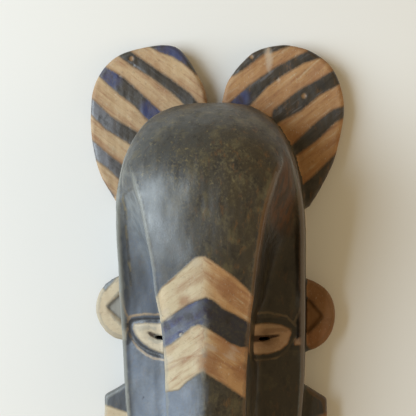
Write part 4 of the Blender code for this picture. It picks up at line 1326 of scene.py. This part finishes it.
def buildFloor():
    bpy.ops.object.select_all(action="DESELECT")
    bpy.ops.mesh.primitive_plane_add(size=studio["floorSize"], location=(0.0, 0.0, 0.0))
    floor = bpy.context.object
    floor.name = "paleFloor"
    material = bpy.data.materials.new("paleFloor")
    material.use_nodes = True
    shader = material.node_tree.nodes["Principled BSDF"]
    shader.inputs["Base Color"].default_value = studio["floorColour"]
    shader.inputs["Roughness"].default_value = studio["floorRough"]
    floor.data.materials.append(material)


def buildLight(name):
    settings = studio[name]
    data = bpy.data.lights.new(name, "AREA")
    data.shape = "RECTANGLE"
    data.size, data.size_y = settings["size"]
    data.energy = settings["power"]
    data.color = settings["colour"]
    lamp = bpy.data.objects.new(name, data)
    bpy.context.scene.collection.objects.link(lamp)
    lamp.visible_glossy = settings["shines"]
    place = Vector(settings["place"])
    lamp.location = place
    lamp.rotation_euler = (Vector(studio["aim"]) - place).to_track_quat("-Z", "Y").to_euler()


def buildCamera():
    data = bpy.data.cameras.new("photoCamera")
    data.sensor_width = photo["sensor"]
    data.lens = photo["sensor"] * photo["distance"] / photo["metresPerPixel"] / photo["pixels"]
    data.clip_start = 0.05
    camera = bpy.data.objects.new("photoCamera", data)
    bpy.context.scene.collection.objects.link(camera)
    yaw = photo["yaw"]
    away = Vector((math.sin(yaw), 0.0, math.cos(yaw))) * photo["distance"]
    camera.location = Vector(photo["target"]) + away
    camera.rotation_euler = (0.0, yaw, 0.0)
    bpy.context.scene.camera = camera
    bpy.context.scene.view_settings.view_transform = "Standard"


def buildWorld():
    # the room's warm light, with a pale backdrop for the camera alone
    world = bpy.data.worlds.new("softRoom")
    world.use_nodes = True
    tree = world.node_tree
    room = tree.nodes["Background"]
    room.inputs["Color"].default_value = studio["worldColour"]
    room.inputs["Strength"].default_value = studio["worldStrength"]
    backdrop = add(tree, "ShaderNodeBackground")
    backdrop.inputs["Color"].default_value = studio["backdrop"]
    choice = add(tree, "ShaderNodeMixShader")
    tree.links.new(add(tree, "ShaderNodeLightPath").outputs["Is Camera Ray"], choice.inputs[0])
    tree.links.new(room.outputs[0], choice.inputs[1])
    tree.links.new(backdrop.outputs[0], choice.inputs[2])
    tree.links.new(choice.outputs[0], tree.nodes["World Output"].inputs["Surface"])
    bpy.context.scene.world = world


mask = makeBody()
carve(mask)
thin(mask)
paintLayout(mask)
finishMask(mask)
buildFloor()
buildLight("window")
buildLight("bounce")
buildWorld()
buildCamera()
stage("ready")
